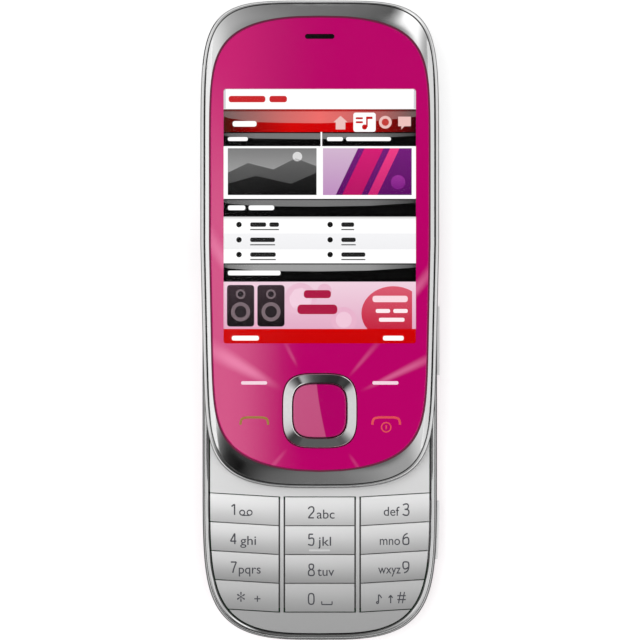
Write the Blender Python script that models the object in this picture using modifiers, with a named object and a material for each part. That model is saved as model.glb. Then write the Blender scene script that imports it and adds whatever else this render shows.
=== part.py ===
"""A slider phone, lying open on its back.

+Z comes out of the screen, +Y points to the earpiece and +X to the right. Lengths are in metres.
The base half holds the keypad, the boards and the battery. The display half slides over it along Y.
Each half is modelled round its own centre, and its pieces hang on an empty there.
"""

import math

import bmesh
import bpy
from mathutils import Matrix, Vector

# Both halves share one outline, which meets |x|^first + |y|^second = 1 at each end
BODY_WIDTH = 0.048
BODY_LENGTH = 0.098
SLIDE_TRAVEL = 0.0314
TOP_END_POWERS = (4.5, 8.5)
BOTTOM_END_POWERS = (3.24, 7.23)
OUTLINE_STEPS = 12
ROUND_SIDES = 18
SMALL_ROUND_SIDES = 8
HALVINGS = 40
FLAT_ANGLE = math.radians(0.05)

# Clearances, and how far a cutter runs past what it cuts
FIT_GAP = 0.0001
POCKET_GAP = 0.00015
RUNNING_GAP = 0.0002
BOARD_GAP = 0.00015
OVERRUN = 0.002
WELD = 0.000001

# Covers on the back
BACK_SKIN = 0.0009
BACK_DEPTH = 0.003
BACK_ROUNDING = 0.0032
BACK_TOP_INSET = 0.00045
COVER_SPLIT_FROM_TOP = 0.027
COVER_SEAM = 0.00015
SPEAKER_SLOT_LENGTH = 0.006
SPEAKER_SLOT_WIDTH = 0.0007
SPEAKER_SLOT_PITCH = 0.0014
SPEAKER_SLOTS = 4

# Base frame, the band round the base with a raised rim
BASE_WALL = 0.00125
RIM_PROUD = 0.00018
RIM_CREST_INSET = 0.00078
RIM_DROP = 0.0005

# Rear frame, boards and shields
REAR_FRAME_GAP = 0.0003
REAR_FRAME_THICKNESS = 0.00425
WELL_CEILING = 0.00042
BOARD_THICKNESS = 0.0008
BOARD_INSET = 0.00145
SHIELD_SIDE_MARGIN = 0.009
SHIELD_FROM_TOP = 0.019
SHIELD_LENGTH = 0.036
SHIELD_HEIGHT = 0.0009
SHIELD_SHEET = 0.0002

# Battery and its connector
BATTERY_SIDE_MARGIN = 0.0071
BATTERY_FROM_BOTTOM = 0.008
BATTERY_FROM_TOP = 0.041
BATTERY_THICKNESS = 0.0038
BATTERY_EDGE = 0.0006
BATTERY_LIFT = 0.0002
CONNECTOR_WIDTH = 0.010
CONNECTOR_DEPTH = 0.0016
CONNECTOR_HEIGHT = 0.0033

# Pieces under the top end of the main board, placed from the top end
SIM_WIDTH = 0.0145
SIM_LENGTH = 0.0106
SIM_X = -0.0088
SIM_FROM_TOP = 0.0333
CARD_WIDTH = 0.0135
CARD_LENGTH = 0.0106
CARD_X = 0.0078
CARD_FROM_TOP = 0.0333
CARD_HEIGHT = 0.0013
CARD_RAIL = 0.0012
CARD_SHEET = 0.0002
SPEAKER_FROM_SIDE = 0.0075
SPEAKER_FROM_CAMERA = 0.0015
SPEAKER_LENGTH = 0.009
SPEAKER_FROM_TOP = 0.0202
SPEAKER_RIM = 0.001
SPEAKER_STEP = 0.0006
SPEAKER_EDGE = 0.0004
CAMERA_SIZE = 0.009
CAMERA_FROM_TOP = 0.0135
CAMERA_HEIGHT = 0.0031
CAMERA_BARREL = 0.0028
CAMERA_BARREL_HEIGHT = 0.0010
CAMERA_APERTURE = 0.0009
CAMERA_RING_RADIUS = 0.0043
CAMERA_RING_INNER = 0.0031
CAMERA_RING_RECESS = 0.0001
CAMERA_RING_HEIGHT = 0.00105
CAMERA_RING_BEVEL = 0.0002
CAMERA_FLANGE = 0.0005
CAMERA_LENS_RECESS = 0.0003
CAMERA_LENS_HEIGHT = 0.0005
MOTOR_RADIUS = 0.0019
MOTOR_LENGTH = 0.0080
MOTOR_FROM_SIDE = 0.0058
MOTOR_FROM_TOP = 0.0203
MOTOR_WEIGHT_LENGTH = 0.0030
MOTOR_NECK_LENGTH = 0.0005
MOTOR_SHAFT_RADIUS = 0.0004
MOTOR_SHAFT_SEAT = 0.0008
WEIGHT_RADIUS = 0.0017
MICROPHONE_RADIUS = 0.0019
MICROPHONE_HEIGHT = 0.0020
MICROPHONE_X = 0.006
MICROPHONE_FROM_BOTTOM = 0.0044
MICROPHONE_HOLE = 0.0005

# Sockets, placed from the top end, with their bores along Y or X
JACK_SIDE_WALL = 0.0004
JACK_WIDTH = 0.0065
JACK_LENGTH = 0.0128
JACK_FROM_TOP = 0.0032
JACK_AXIS_DROP = 0.0014
JACK_HEIGHT = 0.0046
JACK_NOSE_RADIUS = 0.0022
JACK_NOSE_LENGTH = 0.0021
JACK_BORE = 0.00175
JACK_BORE_DEPTH = 0.0125
CHARGER_SIDE_WALL = 0.001
CHARGER_WIDTH = 0.0048
CHARGER_LENGTH = 0.0082
CHARGER_FROM_TOP = 0.0032
CHARGER_HEIGHT = 0.0030
CHARGER_NOSE_RADIUS = 0.0014
CHARGER_NOSE_LENGTH = 0.0021
CHARGER_BORE = 0.0010
CHARGER_BORE_DEPTH = 0.0075
USB_FROM_TOP = 0.0193
USB_WIDTH = 0.0075
USB_HEIGHT = 0.0023
USB_DEPTH = 0.0055
USB_RECESS = 0.0005
USB_SHELL = 0.0003
USB_MOUTH_DEPTH = 0.0045

# Keypad: four rows above the chin, in three columns
KEY_ROW_PITCH = 0.00583
KEY_ROWS = 4
KEYPAD_FROM_BOTTOM = 0.00605
KEY_GAP = 0.0002
KEY_HEIGHT = 0.00085
KEY_CROWN = 0.00016
KEY_CROWN_STEPS = 6
KEY_PROUD = 0.0001
KEY_TRAVEL = 0.00025
KEY_REST_GAP = 0.00005
MIDDLE_KEY_HALF = 0.0070
STRIP_START = 0.0072
STRIP_WIDTH = 0.00095
OUTER_KEY_START = 0.00835
KEY_SLANT = 0.00083
DECK_INSET = 0.00165
FASCIA_THICKNESS = 0.0007
MAT_INSET = 0.0035
MAT_THICKNESS = 0.0004
MAT_GAP = 0.00005
DOME_SHEET_THICKNESS = 0.0001
DOME_HEIGHT = 0.00012
DOME_RADIUS = 0.0021
DOME_FLAT_RADIUS = 0.0009
OUTER_DOME_X = 0.0148

# Side keys on the right, and the switches behind them
SIDE_KEY_PROUD = 0.0004
SIDE_KEY_HEIGHT = 0.0018
SIDE_KEY_RISE = 0.0050
SIDE_KEY_FLANGE = 0.0004
SIDE_KEY_LIP = 0.0005
SIDE_KEY_STEPS = 5
CAMERA_KEY_FROM_BOTTOM = 0.0165
CAMERA_KEY_LENGTH = 0.0118
VOLUME_KEY_FROM_TOP = 0.030
VOLUME_KEY_LENGTH = 0.014
VOLUME_SWITCH_LENGTH = 0.010
SIDE_KEY_PLAY = 0.00035
SWITCH_LENGTH = 0.0032
SWITCH_DEPTH = 0.0018
SWITCH_HEIGHT = 0.0013

# Screws, with heads in the rear frame and tips in the fascia's bosses
UPPER_SCREW_FROM_SIDE = 0.0056
UPPER_SCREW_FROM_TOP = 0.0105
LOWER_SCREW_FROM_SIDE = 0.0115
LOWER_SCREW_FROM_BOTTOM = 0.0047
SCREW_HEAD_RADIUS = 0.0012
SCREW_HEAD_HEIGHT = 0.0007
SCREW_SHANK_RADIUS = 0.0005
SCREW_SEAT_DEPTH = 0.0020
SCREW_RECESS_RADIUS = 0.0004
SCREW_RECESS_DEPTH = 0.0004
BOSS_RADIUS = 0.0013

# Slide: a hat-shaped plate on the base, and a plate with two C rails on the display half
SHEET = 0.0004
RAIL_FROM_SIDE = 0.0088
RAIL_WALL = 0.0010
RAIL_LIP_WIDTH = 0.0012
RAIL_LIP = 0.0004
RAIL_TOP_LIP = 0.0003
RAIL_SLOT = 0.0006
RUNNER_THICKNESS = 0.0003
RUNNER_WIDTH = 0.0022
MOVING_PLATE_OVERLAP = 0.0016
POCKET_FROM_BOTTOM = 0.0052
POCKET_FROM_TOP = 0.0066
STOP_GAP = 0.0004
SPRING_WIRE_RADIUS = 0.0003
SPRING_PIN_RADIUS = 0.0005
SPRING_PIN_FROM_RAIL = 0.0062
SPRING_PIN_FROM_PLATE_END = 0.016
SPRING_BOW = 0.005
SPRING_EYE_SHARE = 0.8
SPRING_EYE_STEPS = 10
SPRING_BOW_STEPS = 14

# Ribbon cable, a U loop between the two slide plates
FLEX_WIDTH = 0.008
FLEX_THICKNESS = 0.0001
FLEX_FROM_TOP = 0.013
FLEX_LOWER_RUN = 0.0118
FLEX_UPPER_RUN = 0.0172
FLEX_TAIL = 0.0035
FLEX_BEND = 0.00025
FLEX_BEND_STEPS = 3
FLEX_SLOT = 0.0008

# Display half: a tray, a sloping bezel, a pink face and a clear window
DISPLAY_CLEARANCE = 0.0002
DISPLAY_BOTTOM_INSET = 0.0010
DISPLAY_WALL = 0.0009
DISPLAY_BAND_HEIGHT = 0.0040
GROOVE = 0.0003
BEZEL_SKIRT = 0.0007
BEZEL_ROUND = 0.00015
BEZEL_RISE = 0.0001
BEZEL_BULGE = 0.00012
LEDGE_WIDTH = 0.0006
LEDGE_THICKNESS = 0.0003
FACE_SIDE_INSET = 0.0022
FACE_END_INSET = 0.0037
FACE_TOP_POWERS = (2.54, 8.97)
FACE_BOTTOM_POWERS = (2.75, 6.29)
FACE_THICKNESS = 0.0012
FACE_CHAMFER = 0.0003
SCREEN_SIDE_MARGIN = 0.0026
SCREEN_FROM_TOP = 0.01807
SCREEN_TO_NAV = 0.00605
SCREEN_CORNER = 0.0005
SCREEN_CORNER_STEPS = 3
WINDOW_THICKNESS = 0.0011
LCD_THICKNESS = 0.0023
LCD_SIDE = 0.0010
LCD_TOP_MARGIN = 0.0020
LCD_BOTTOM_MARGIN = 0.0016
LCD_GAP = 0.0002

# Keys and boards under the lower face
NAV_FROM_BOTTOM = 0.0157
NAV_HALF = 0.00738
NAV_POWERS = (3.5, 3.5)
NAV_RING_WIDTH = 0.00185
NAV_PROUD = 0.0006
NAV_STEPS = 7
NAV_PAD_THICKNESS = 0.0003
NAV_PAD_INSET = 0.0009
NAV_TILT_GAP = 0.00025
NAV_HOLE_GAP = 0.00015
SELECT_PROUD = 0.0003
SELECT_LIFT = 0.0003
SELECT_EDGE = 0.0003
SELECT_STEM_RADIUS = 0.0013
SELECT_TRAVEL = 0.0002
STEM_HOLE_RADIUS = 0.0019
UI_BOARD_THICKNESS = 0.0008
UI_BOARD_INSET = 0.0008
UI_BOARD_MARGIN = 0.0008
UI_MAT_HALF = 0.0078
TOUCH_FILM_THICKNESS = 0.00015
TOUCH_FILM_GAP = 0.00005
TOUCH_FILM_INSET = 0.0009
TOUCH_FILM_HOLE = 0.0003

# Earpiece behind its slot
EARPIECE_FROM_TOP = 0.0076
EARPIECE_SLOT_LENGTH = 0.0059
EARPIECE_SLOT_WIDTH = 0.0010
EARPIECE_LENGTH = 0.0100
EARPIECE_WIDTH = 0.0040
EARPIECE_EDGE = 0.0005
EARPIECE_MOUTH_DEPTH = 0.0006
GRILLE_THICKNESS = 0.0003
GRILLE_RECESS = 0.0003
GRILLE_HOLES = 7
GRILLE_HOLE_RADIUS = 0.0002
GRILLE_HOLE_PITCH = 0.0007

# Profiles from side to side: (share of the inset, share of the height)
BACK_PROFILE_SHARES = ((1, 0), (0.69, 0.08), (0.375, 0.3), (0.2, 0.63), (0, 1))
BASE_BAND_SHARES = ((0.58, 0), (0.13, 0.21), (0, 0.4), (0.13, 0.7), (0.45, 0.87), (0.72, 0.965), (1, 1))
RIM_INNER_SHARES = ((0.5, 0.3), (1, 1))
DISPLAY_BAND_SHARES = ((1, 0), (0.45, 0.08), (0.1, 0.32), (0, 0.6), (0.15, 0.84), (0.45, 0.96), (0.72, 1))
NAV_RING_SHARES = ((0, 0.62), (0.13, 0.88), (0.4, 1), (0.68, 0.9), (1, 0.55))

# Heights, from the back of the phone up
BASE_FRAME_BOTTOM = BACK_DEPTH + FIT_GAP
REAR_FRAME_BOTTOM = BACK_SKIN + REAR_FRAME_GAP
REAR_FRAME_TOP = REAR_FRAME_BOTTOM + REAR_FRAME_THICKNESS
REAR_FRAME_INSET = BACK_TOP_INSET + BACK_SKIN + REAR_FRAME_GAP
BOARD_BOTTOM = REAR_FRAME_TOP + BOARD_GAP
BOARD_TOP = BOARD_BOTTOM + BOARD_THICKNESS
UNDER_BOARD = BOARD_BOTTOM - FIT_GAP
DOME_SHEET_BOTTOM = BOARD_TOP + FIT_GAP
DOME_SHEET_TOP = DOME_SHEET_BOTTOM + DOME_SHEET_THICKNESS
MAT_BOTTOM = DOME_SHEET_TOP + DOME_HEIGHT + MAT_GAP
MAT_TOP = MAT_BOTTOM + MAT_THICKNESS
KEY_BOTTOM = MAT_TOP + KEY_TRAVEL + KEY_REST_GAP
KEY_TOP = KEY_BOTTOM + KEY_HEIGHT
FASCIA_TOP = KEY_TOP - KEY_PROUD
FASCIA_BOTTOM = FASCIA_TOP - FASCIA_THICKNESS
BASE_CREST = FASCIA_TOP + RIM_PROUD
WEB_BOTTOM = FASCIA_TOP + FIT_GAP
WEB_TOP = WEB_BOTTOM + SHEET
DISPLAY_BOTTOM = BASE_CREST + DISPLAY_CLEARANCE
RAIL_BOTTOM = DISPLAY_BOTTOM + FIT_GAP
RAIL_SLOT_BOTTOM = RAIL_BOTTOM + RAIL_LIP
RAIL_SLOT_TOP = RAIL_SLOT_BOTTOM + RAIL_SLOT
RUNNER_BOTTOM = RAIL_SLOT_BOTTOM + (RAIL_SLOT - RUNNER_THICKNESS) / 2
RUNNER_TOP = RUNNER_BOTTOM + RUNNER_THICKNESS
MOVING_PLATE_BOTTOM = RAIL_SLOT_TOP + RAIL_TOP_LIP
MOVING_PLATE_TOP = MOVING_PLATE_BOTTOM + SHEET
FLOOR_TOP = MOVING_PLATE_BOTTOM - FIT_GAP
LCD_BOTTOM = MOVING_PLATE_TOP + LCD_GAP
LCD_TOP = LCD_BOTTOM + LCD_THICKNESS
WINDOW_BOTTOM = LCD_TOP + LCD_GAP
FACE_TOP = WINDOW_BOTTOM + WINDOW_THICKNESS
FACE_BOTTOM = FACE_TOP - FACE_THICKNESS
LEDGE_TOP = FACE_BOTTOM - FIT_GAP
BEZEL_CREST = FACE_TOP + BEZEL_RISE
DISPLAY_BAND_TOP = DISPLAY_BOTTOM + DISPLAY_BAND_HEIGHT
UI_BOARD_BOTTOM = LCD_BOTTOM
UI_BOARD_TOP = UI_BOARD_BOTTOM + UI_BOARD_THICKNESS
NAV_BOTTOM = FACE_BOTTOM + FIT_GAP
NAV_TOP = FACE_TOP + NAV_PROUD
NAV_PAD_TOP = NAV_BOTTOM - NAV_TILT_GAP
NAV_PAD_BOTTOM = NAV_PAD_TOP - NAV_PAD_THICKNESS
NAV_PIVOT = NAV_PAD_BOTTOM
UI_MAT_TOP = NAV_PAD_BOTTOM - NAV_TILT_GAP
UI_MAT_BOTTOM = UI_BOARD_TOP + MAT_GAP
SELECT_TOP = FACE_TOP + SELECT_PROUD
SELECT_STEM_BOTTOM = UI_MAT_TOP + SELECT_TRAVEL + KEY_REST_GAP

# Places along Y, in each half's own frame
HALF_LENGTH = BODY_LENGTH / 2
HALF_WIDTH = BODY_WIDTH / 2
BASE_Y = -SLIDE_TRAVEL / 2
DISPLAY_Y = SLIDE_TRAVEL / 2


def side_x(y, inset):
    """Where the right side lies at a height along the body, a given distance inside its outline."""
    powers = TOP_END_POWERS if y >= 0 else BOTTOM_END_POWERS
    along = abs(y) / (HALF_LENGTH - inset)
    return (HALF_WIDTH - inset) * (1 - along ** powers[1]) ** (1 / powers[0])


COVER_SPLIT = HALF_LENGTH - COVER_SPLIT_FROM_TOP
BATTERY_HALF_WIDTH = HALF_WIDTH - BATTERY_SIDE_MARGIN
WELL_TOP = HALF_LENGTH - BATTERY_FROM_TOP
WELL_BOTTOM = BATTERY_FROM_BOTTOM - HALF_LENGTH
KEYPAD_BOTTOM = KEYPAD_FROM_BOTTOM - HALF_LENGTH
KEYPAD_TOP = KEYPAD_BOTTOM + KEY_ROWS * KEY_ROW_PITCH
POCKET_BOTTOM = POCKET_FROM_BOTTOM - HALF_LENGTH
POCKET_TOP = HALF_LENGTH - POCKET_FROM_TOP
FIXED_PLATE_LOW = POCKET_BOTTOM + STOP_GAP + SLIDE_TRAVEL
FIXED_PLATE_HIGH = POCKET_TOP - STOP_GAP
CONNECTOR_Y = WELL_TOP + CONNECTOR_DEPTH / 2 + 2 * POCKET_GAP
SIM_Y = HALF_LENGTH - SIM_FROM_TOP
CARD_Y = HALF_LENGTH - CARD_FROM_TOP
SPEAKER_LEFT = SPEAKER_FROM_SIDE - HALF_WIDTH
SPEAKER_RIGHT = -CAMERA_SIZE / 2 - SPEAKER_FROM_CAMERA
SPEAKER_WIDTH = SPEAKER_RIGHT - SPEAKER_LEFT
SPEAKER_X = (SPEAKER_LEFT + SPEAKER_RIGHT) / 2
SPEAKER_Y = HALF_LENGTH - SPEAKER_FROM_TOP
CAMERA_Y = HALF_LENGTH - CAMERA_FROM_TOP
CAMERA_FOOT = (0, CAMERA_Y, -OVERRUN)
MOTOR_START = HALF_WIDTH - MOTOR_FROM_SIDE - MOTOR_LENGTH
MOTOR_Y = HALF_LENGTH - MOTOR_FROM_TOP
MOTOR_AXIS = UNDER_BOARD - MOTOR_RADIUS
MOTOR_SPAN = MOTOR_LENGTH + MOTOR_NECK_LENGTH + MOTOR_WEIGHT_LENGTH
MOTOR_MIDDLE = MOTOR_START + MOTOR_LENGTH - MOTOR_SPAN / 2
MICROPHONE_Y = MICROPHONE_FROM_BOTTOM - HALF_LENGTH
MICROPHONE_AXIS = UNDER_BOARD - MICROPHONE_HEIGHT / 2
JACK_Y = HALF_LENGTH - JACK_FROM_TOP - JACK_LENGTH / 2
JACK_POCKET_FRONT = JACK_Y + JACK_LENGTH / 2 + POCKET_GAP
JACK_POCKET_SIDE = side_x(JACK_POCKET_FRONT, REAR_FRAME_INSET) - JACK_SIDE_WALL
JACK_X = JACK_POCKET_SIDE - POCKET_GAP - JACK_WIDTH / 2
JACK_AXIS = BOARD_BOTTOM - JACK_AXIS_DROP
CHARGER_Y = HALF_LENGTH - CHARGER_FROM_TOP - CHARGER_LENGTH / 2
CHARGER_POCKET_FRONT = CHARGER_Y + CHARGER_LENGTH / 2 + POCKET_GAP
CHARGER_POCKET_SIDE = side_x(CHARGER_POCKET_FRONT, REAR_FRAME_INSET) - CHARGER_SIDE_WALL
CHARGER_X = -(CHARGER_POCKET_SIDE - POCKET_GAP - CHARGER_WIDTH / 2)
CHARGER_AXIS = UNDER_BOARD - CHARGER_HEIGHT / 2
USB_Y = HALF_LENGTH - USB_FROM_TOP
FLANGE_OUTER_INSET = BASE_WALL + SIDE_KEY_PLAY
FLANGE_INNER_INSET = FLANGE_OUTER_INSET + SIDE_KEY_FLANGE
FLEX_Y = HALF_LENGTH - FLEX_FROM_TOP
UPPER_SCREW_X = HALF_WIDTH - UPPER_SCREW_FROM_SIDE
UPPER_SCREW_Y = HALF_LENGTH - UPPER_SCREW_FROM_TOP
LOWER_SCREW_X = HALF_WIDTH - LOWER_SCREW_FROM_SIDE
LOWER_SCREW_Y = LOWER_SCREW_FROM_BOTTOM - HALF_LENGTH
SCREW_PLACES = (
    (-UPPER_SCREW_X, UPPER_SCREW_Y),
    (UPPER_SCREW_X, UPPER_SCREW_Y),
    (-LOWER_SCREW_X, LOWER_SCREW_Y),
    (LOWER_SCREW_X, LOWER_SCREW_Y),
)
SCREW_SEAT = REAR_FRAME_BOTTOM + SCREW_SEAT_DEPTH
SCREW_TIP = FASCIA_BOTTOM
CAMERA_KEY_Y = CAMERA_KEY_FROM_BOTTOM + CAMERA_KEY_LENGTH / 2 - HALF_LENGTH
VOLUME_KEY_Y = HALF_LENGTH - VOLUME_KEY_FROM_TOP - VOLUME_KEY_LENGTH / 2
RAIL_OUTER = HALF_WIDTH - RAIL_FROM_SIDE
RAIL_INNER = RAIL_OUTER - RAIL_WALL
SPRING_PIN_X = RAIL_INNER - SPRING_PIN_FROM_RAIL
SPRING_PIN_Y = FIXED_PLATE_LOW + SPRING_PIN_FROM_PLATE_END
SCREEN_HALF_WIDTH = HALF_WIDTH - FACE_SIDE_INSET - SCREEN_SIDE_MARGIN
NAV_Y = NAV_FROM_BOTTOM - HALF_LENGTH
SCREEN_LOW = NAV_Y + NAV_HALF + SCREEN_TO_NAV
SCREEN_HIGH = HALF_LENGTH - SCREEN_FROM_TOP
SCREEN_LENGTH = SCREEN_HIGH - SCREEN_LOW
SCREEN_Y = (SCREEN_LOW + SCREEN_HIGH) / 2
LCD_LOW = SCREEN_LOW - LCD_BOTTOM_MARGIN
EARPIECE_Y = HALF_LENGTH - EARPIECE_FROM_TOP

# Colours as seen, red, green, blue and opacity
PINK = (0.484, 0.0012, 0.133, 1)
PINK_SOFT = (0.40, 0.02, 0.14, 1)
SILVER = (0.66, 0.66, 0.67, 1)
KEY_SILVER = (0.55, 0.55, 0.56, 1)
CHROME = (0.75, 0.75, 0.76, 1)
STEEL = (0.45, 0.45, 0.46, 1)
BLACK = (0.01, 0.01, 0.011, 1)
GREY_PLASTIC = (0.08, 0.08, 0.085, 1)
RUBBER_GREY = (0.35, 0.35, 0.34, 1)
BOARD_GREEN = (0.01, 0.08, 0.03, 1)
BATTERY_GREY = (0.12, 0.12, 0.13, 1)
POLYIMIDE = (0.45, 0.16, 0.02, 1)
SCREEN_WHITE = (0.8, 0.8, 0.8, 1)
CLEAR = (0.9, 0.9, 0.92, 1)


def start():
    """Clear the scene and make a collection for the pieces and one for the cutters."""
    for thing in list(bpy.data.objects):
        bpy.data.objects.remove(thing, do_unlink=True)
    made = []
    for name in ("slider_phone", "cutters"):
        collection = bpy.data.collections.new(name)
        bpy.context.scene.collection.children.link(collection)
        made.append(collection)
    return made


PARTS, CUTTERS = start()


def carrier(name, at, parent=None):
    """An empty that pieces hang on."""
    empty = bpy.data.objects.new(name, None)
    empty.location = at
    empty.parent = parent
    PARTS.objects.link(empty)
    return empty


def finish(name, colour, roughness, metallic=0, transmission=0):
    material = bpy.data.materials.new(name)
    material.use_nodes = True
    shader = material.node_tree.nodes["Principled BSDF"]
    shader.inputs["Base Color"].default_value = colour
    shader.inputs["Roughness"].default_value = roughness
    shader.inputs["Metallic"].default_value = metallic
    shader.inputs["Transmission Weight"].default_value = transmission
    return material


def part(name, mesh, material, half, at=(0, 0, 0)):
    """Show a mesh, drawn in its half's frame, as a piece with its origin at a place there."""
    mesh.name = name
    mesh.materials.append(material)
    mesh.transform(Matrix.Translation(-Vector(at)))
    piece = bpy.data.objects.new(name, mesh)
    piece.parent = half
    piece.location = at
    PARTS.objects.link(piece)
    return piece


def combine(piece, operation, label, *meshes):
    """Cut, join or keep with meshes drawn in the half's frame."""
    tool = bpy.data.objects.new(f"{piece.name}_{label}", several(meshes))
    tool.hide_render = True
    tool.display_type = "WIRE"
    tool.parent = piece.parent
    CUTTERS.objects.link(tool)
    modifier = piece.modifiers.new(label, "BOOLEAN")
    modifier.operation = operation
    modifier.solver = "EXACT"
    modifier.object = tool


def cut(piece, label, *meshes):
    combine(piece, "DIFFERENCE", label, *meshes)


def join(piece, label, *meshes):
    combine(piece, "UNION", label, *meshes)


def keep(piece, label, *meshes):
    combine(piece, "INTERSECT", label, *meshes)


def done(shape):
    """Turn a bmesh into a mesh whose faces point out."""
    bmesh.ops.recalc_face_normals(shape, faces=shape.faces)
    mesh = bpy.data.meshes.new("shape")
    shape.to_mesh(mesh)
    shape.free()
    return mesh


def several(meshes):
    """Meshes that stay apart, as one."""
    shape = bmesh.new()
    for mesh in meshes:
        shape.from_mesh(mesh)
        bpy.data.meshes.remove(mesh)
    return done(shape)


def evaluated_mesh(guide):
    """The solid of a guide object as a mesh, with its loose caps welded and each flat face whole."""
    CUTTERS.objects.link(guide)
    bpy.context.view_layer.update()
    graph = bpy.context.evaluated_depsgraph_get()
    mesh = bpy.data.meshes.new_from_object(guide.evaluated_get(graph))
    bpy.data.objects.remove(guide, do_unlink=True)
    shape = bmesh.new()
    shape.from_mesh(mesh)
    bpy.data.meshes.remove(mesh)
    bmesh.ops.remove_doubles(shape, verts=shape.verts, dist=WELD)
    bmesh.ops.dissolve_limit(shape, angle_limit=FLAT_ANGLE, verts=shape.verts, edges=shape.edges)
    return done(shape)


def box(low, high, edge=0):
    """A box between two corners, with its edges rounded."""
    low = Vector(low)
    high = Vector(high)
    place = Matrix.Translation((low + high) / 2) @ Matrix.Diagonal((high - low).to_4d())
    shape = bmesh.new()
    bmesh.ops.create_cube(shape, size=1, matrix=place)
    if edge:
        bmesh.ops.bevel(shape, geom=shape.edges[:], offset=edge, segments=2, profile=0.5, affect="EDGES")
    return done(shape)


def centred_box(middle, sizes, bottom, top, edge=0):
    """A box round a place in the plan, between two heights."""
    x, y = middle
    half_x = sizes[0] / 2
    half_y = sizes[1] / 2
    return box((x - half_x, y - half_y, bottom), (x + half_x, y + half_y, top), edge)


def rod(foot, radius, length, axis="Z", sides=ROUND_SIDES, end_radius=None):
    """A round bar, or a cone, that runs from its foot along an axis."""
    turns = {
        "X": Matrix.Rotation(math.pi / 2, 4, "Y"),
        "Y": Matrix.Rotation(-math.pi / 2, 4, "X"),
        "Z": Matrix.Identity(4),
    }
    place = Matrix.Translation(foot) @ turns[axis] @ Matrix.Translation((0, 0, length / 2))
    shape = bmesh.new()
    bmesh.ops.create_cone(
        shape,
        cap_ends=True,
        segments=sides,
        radius1=radius,
        radius2=radius if end_radius is None else end_radius,
        depth=length,
        matrix=place,
    )
    return done(shape)


def turned(profile, closed=False, sides=ROUND_SIDES):
    """A profile of radius and height, turned round Z; a closed one leaves a bore."""
    mesh = bpy.data.meshes.new("profile")
    links = [(i, i + 1) for i in range(len(profile) - 1)]
    if closed:
        links.append((len(profile) - 1, 0))
    mesh.from_pydata([(radius, 0, height) for radius, height in profile], links, [])
    guide = bpy.data.objects.new("profile", mesh)
    screw = guide.modifiers.new("turn", "SCREW")
    screw.steps = sides
    screw.render_steps = sides
    screw.use_merge_vertices = True
    screw.merge_threshold = WELD
    return evaluated_mesh(guide)


def moved(mesh, place):
    mesh.transform(Matrix.Translation(place))
    return mesh


def plate(outlines, bottom, top):
    """Flat outlines between two heights, where an outline inside another is a hole."""
    curve = bpy.data.curves.new("outline", "CURVE")
    curve.dimensions = "2D"
    curve.fill_mode = "BOTH"
    curve.extrude = (top - bottom) / 2
    for points in outlines:
        spline = curve.splines.new("POLY")
        spline.points.add(len(points) - 1)
        spline.use_cyclic_u = True
        for point, (x, y) in zip(spline.points, points):
            point.co = (x, y, 0, 1)
    return moved(evaluated_mesh(bpy.data.objects.new("outline", curve)), (0, 0, (top + bottom) / 2))


def bar_along_x(points, start, end):
    """An outline of (y, z) points, drawn along X."""
    mesh = plate([points], start, end)
    mesh.transform(Matrix(((0, 0, 1, 0), (1, 0, 0, 0), (0, 1, 0, 0), (0, 0, 0, 1))))
    return mesh


def bar_along_y(points, start, end):
    """An outline of (x, z) points, drawn along Y."""
    mesh = plate([points], -end, -start)
    mesh.transform(Matrix(((1, 0, 0, 0), (0, 0, -1, 0), (0, 1, 0, 0), (0, 0, 0, 1))))
    return mesh


def wire(points, radius):
    """A round wire through a list of points."""
    curve = bpy.data.curves.new("wire", "CURVE")
    curve.dimensions = "3D"
    curve.bevel_depth = radius
    curve.bevel_resolution = 2
    curve.use_fill_caps = True
    spline = curve.splines.new("POLY")
    spline.points.add(len(points) - 1)
    for point, (x, y, z) in zip(spline.points, points):
        point.co = (x, y, z, 1)
    return evaluated_mesh(bpy.data.objects.new("wire", curve))


def loft(rings, closed=False):
    """A skin through rings of (points, height) with as many points each; a closed one is a frame."""
    shape = bmesh.new()
    rows = [[shape.verts.new((x, y, height)) for x, y in points] for points, height in rings]
    pairs = list(zip(rows, rows[1:]))
    if closed:
        pairs.append((rows[-1], rows[0]))
    for lower, upper in pairs:
        for i, corner in enumerate(lower):
            after = (i + 1) % len(lower)
            shape.faces.new((corner, lower[after], upper[after], upper[i]))
    if not closed:
        shape.faces.new(rows[0])
        shape.faces.new(rows[-1])
    return done(shape)


def reach(across, along, powers):
    """How far out along a ray the curve |x|^first + |y|^second = 1 lies."""
    low = 0
    high = 2
    for _ in range(HALVINGS):
        middle = (low + high) / 2
        if (middle * across) ** powers[0] + (middle * along) ** powers[1] < 1:
            low = middle
        else:
            high = middle
    return low


def outline(half_width, half_length, top_powers, bottom_powers, steps=OUTLINE_STEPS, spread=TOP_END_POWERS):
    """A closed outline whose points lie on the same rays for every size and every power."""
    points = []
    for step in range(4 * steps):
        angle = math.tau * step / (4 * steps)
        across = math.copysign(abs(math.cos(angle)) ** (2 / spread[0]), math.cos(angle))
        along = math.copysign(abs(math.sin(angle)) ** (2 / spread[1]), math.sin(angle))
        powers = top_powers if along >= 0 else bottom_powers
        out = reach(abs(across), abs(along), powers)
        points.append((out * across * half_width, out * along * half_length))
    return points


def body_outline(inset):
    return outline(HALF_WIDTH - inset, HALF_LENGTH - inset, TOP_END_POWERS, BOTTOM_END_POWERS)


def face_outline(inset):
    half_width = HALF_WIDTH - FACE_SIDE_INSET - inset
    half_length = HALF_LENGTH - FACE_END_INSET - inset
    return outline(half_width, half_length, FACE_TOP_POWERS, FACE_BOTTOM_POWERS)


def between(first, second, share):
    """An outline part of the way from one to another."""
    return [
        (x + share * (to_x - x), y + share * (to_y - y))
        for (x, y), (to_x, to_y) in zip(first, second)
    ]


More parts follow.
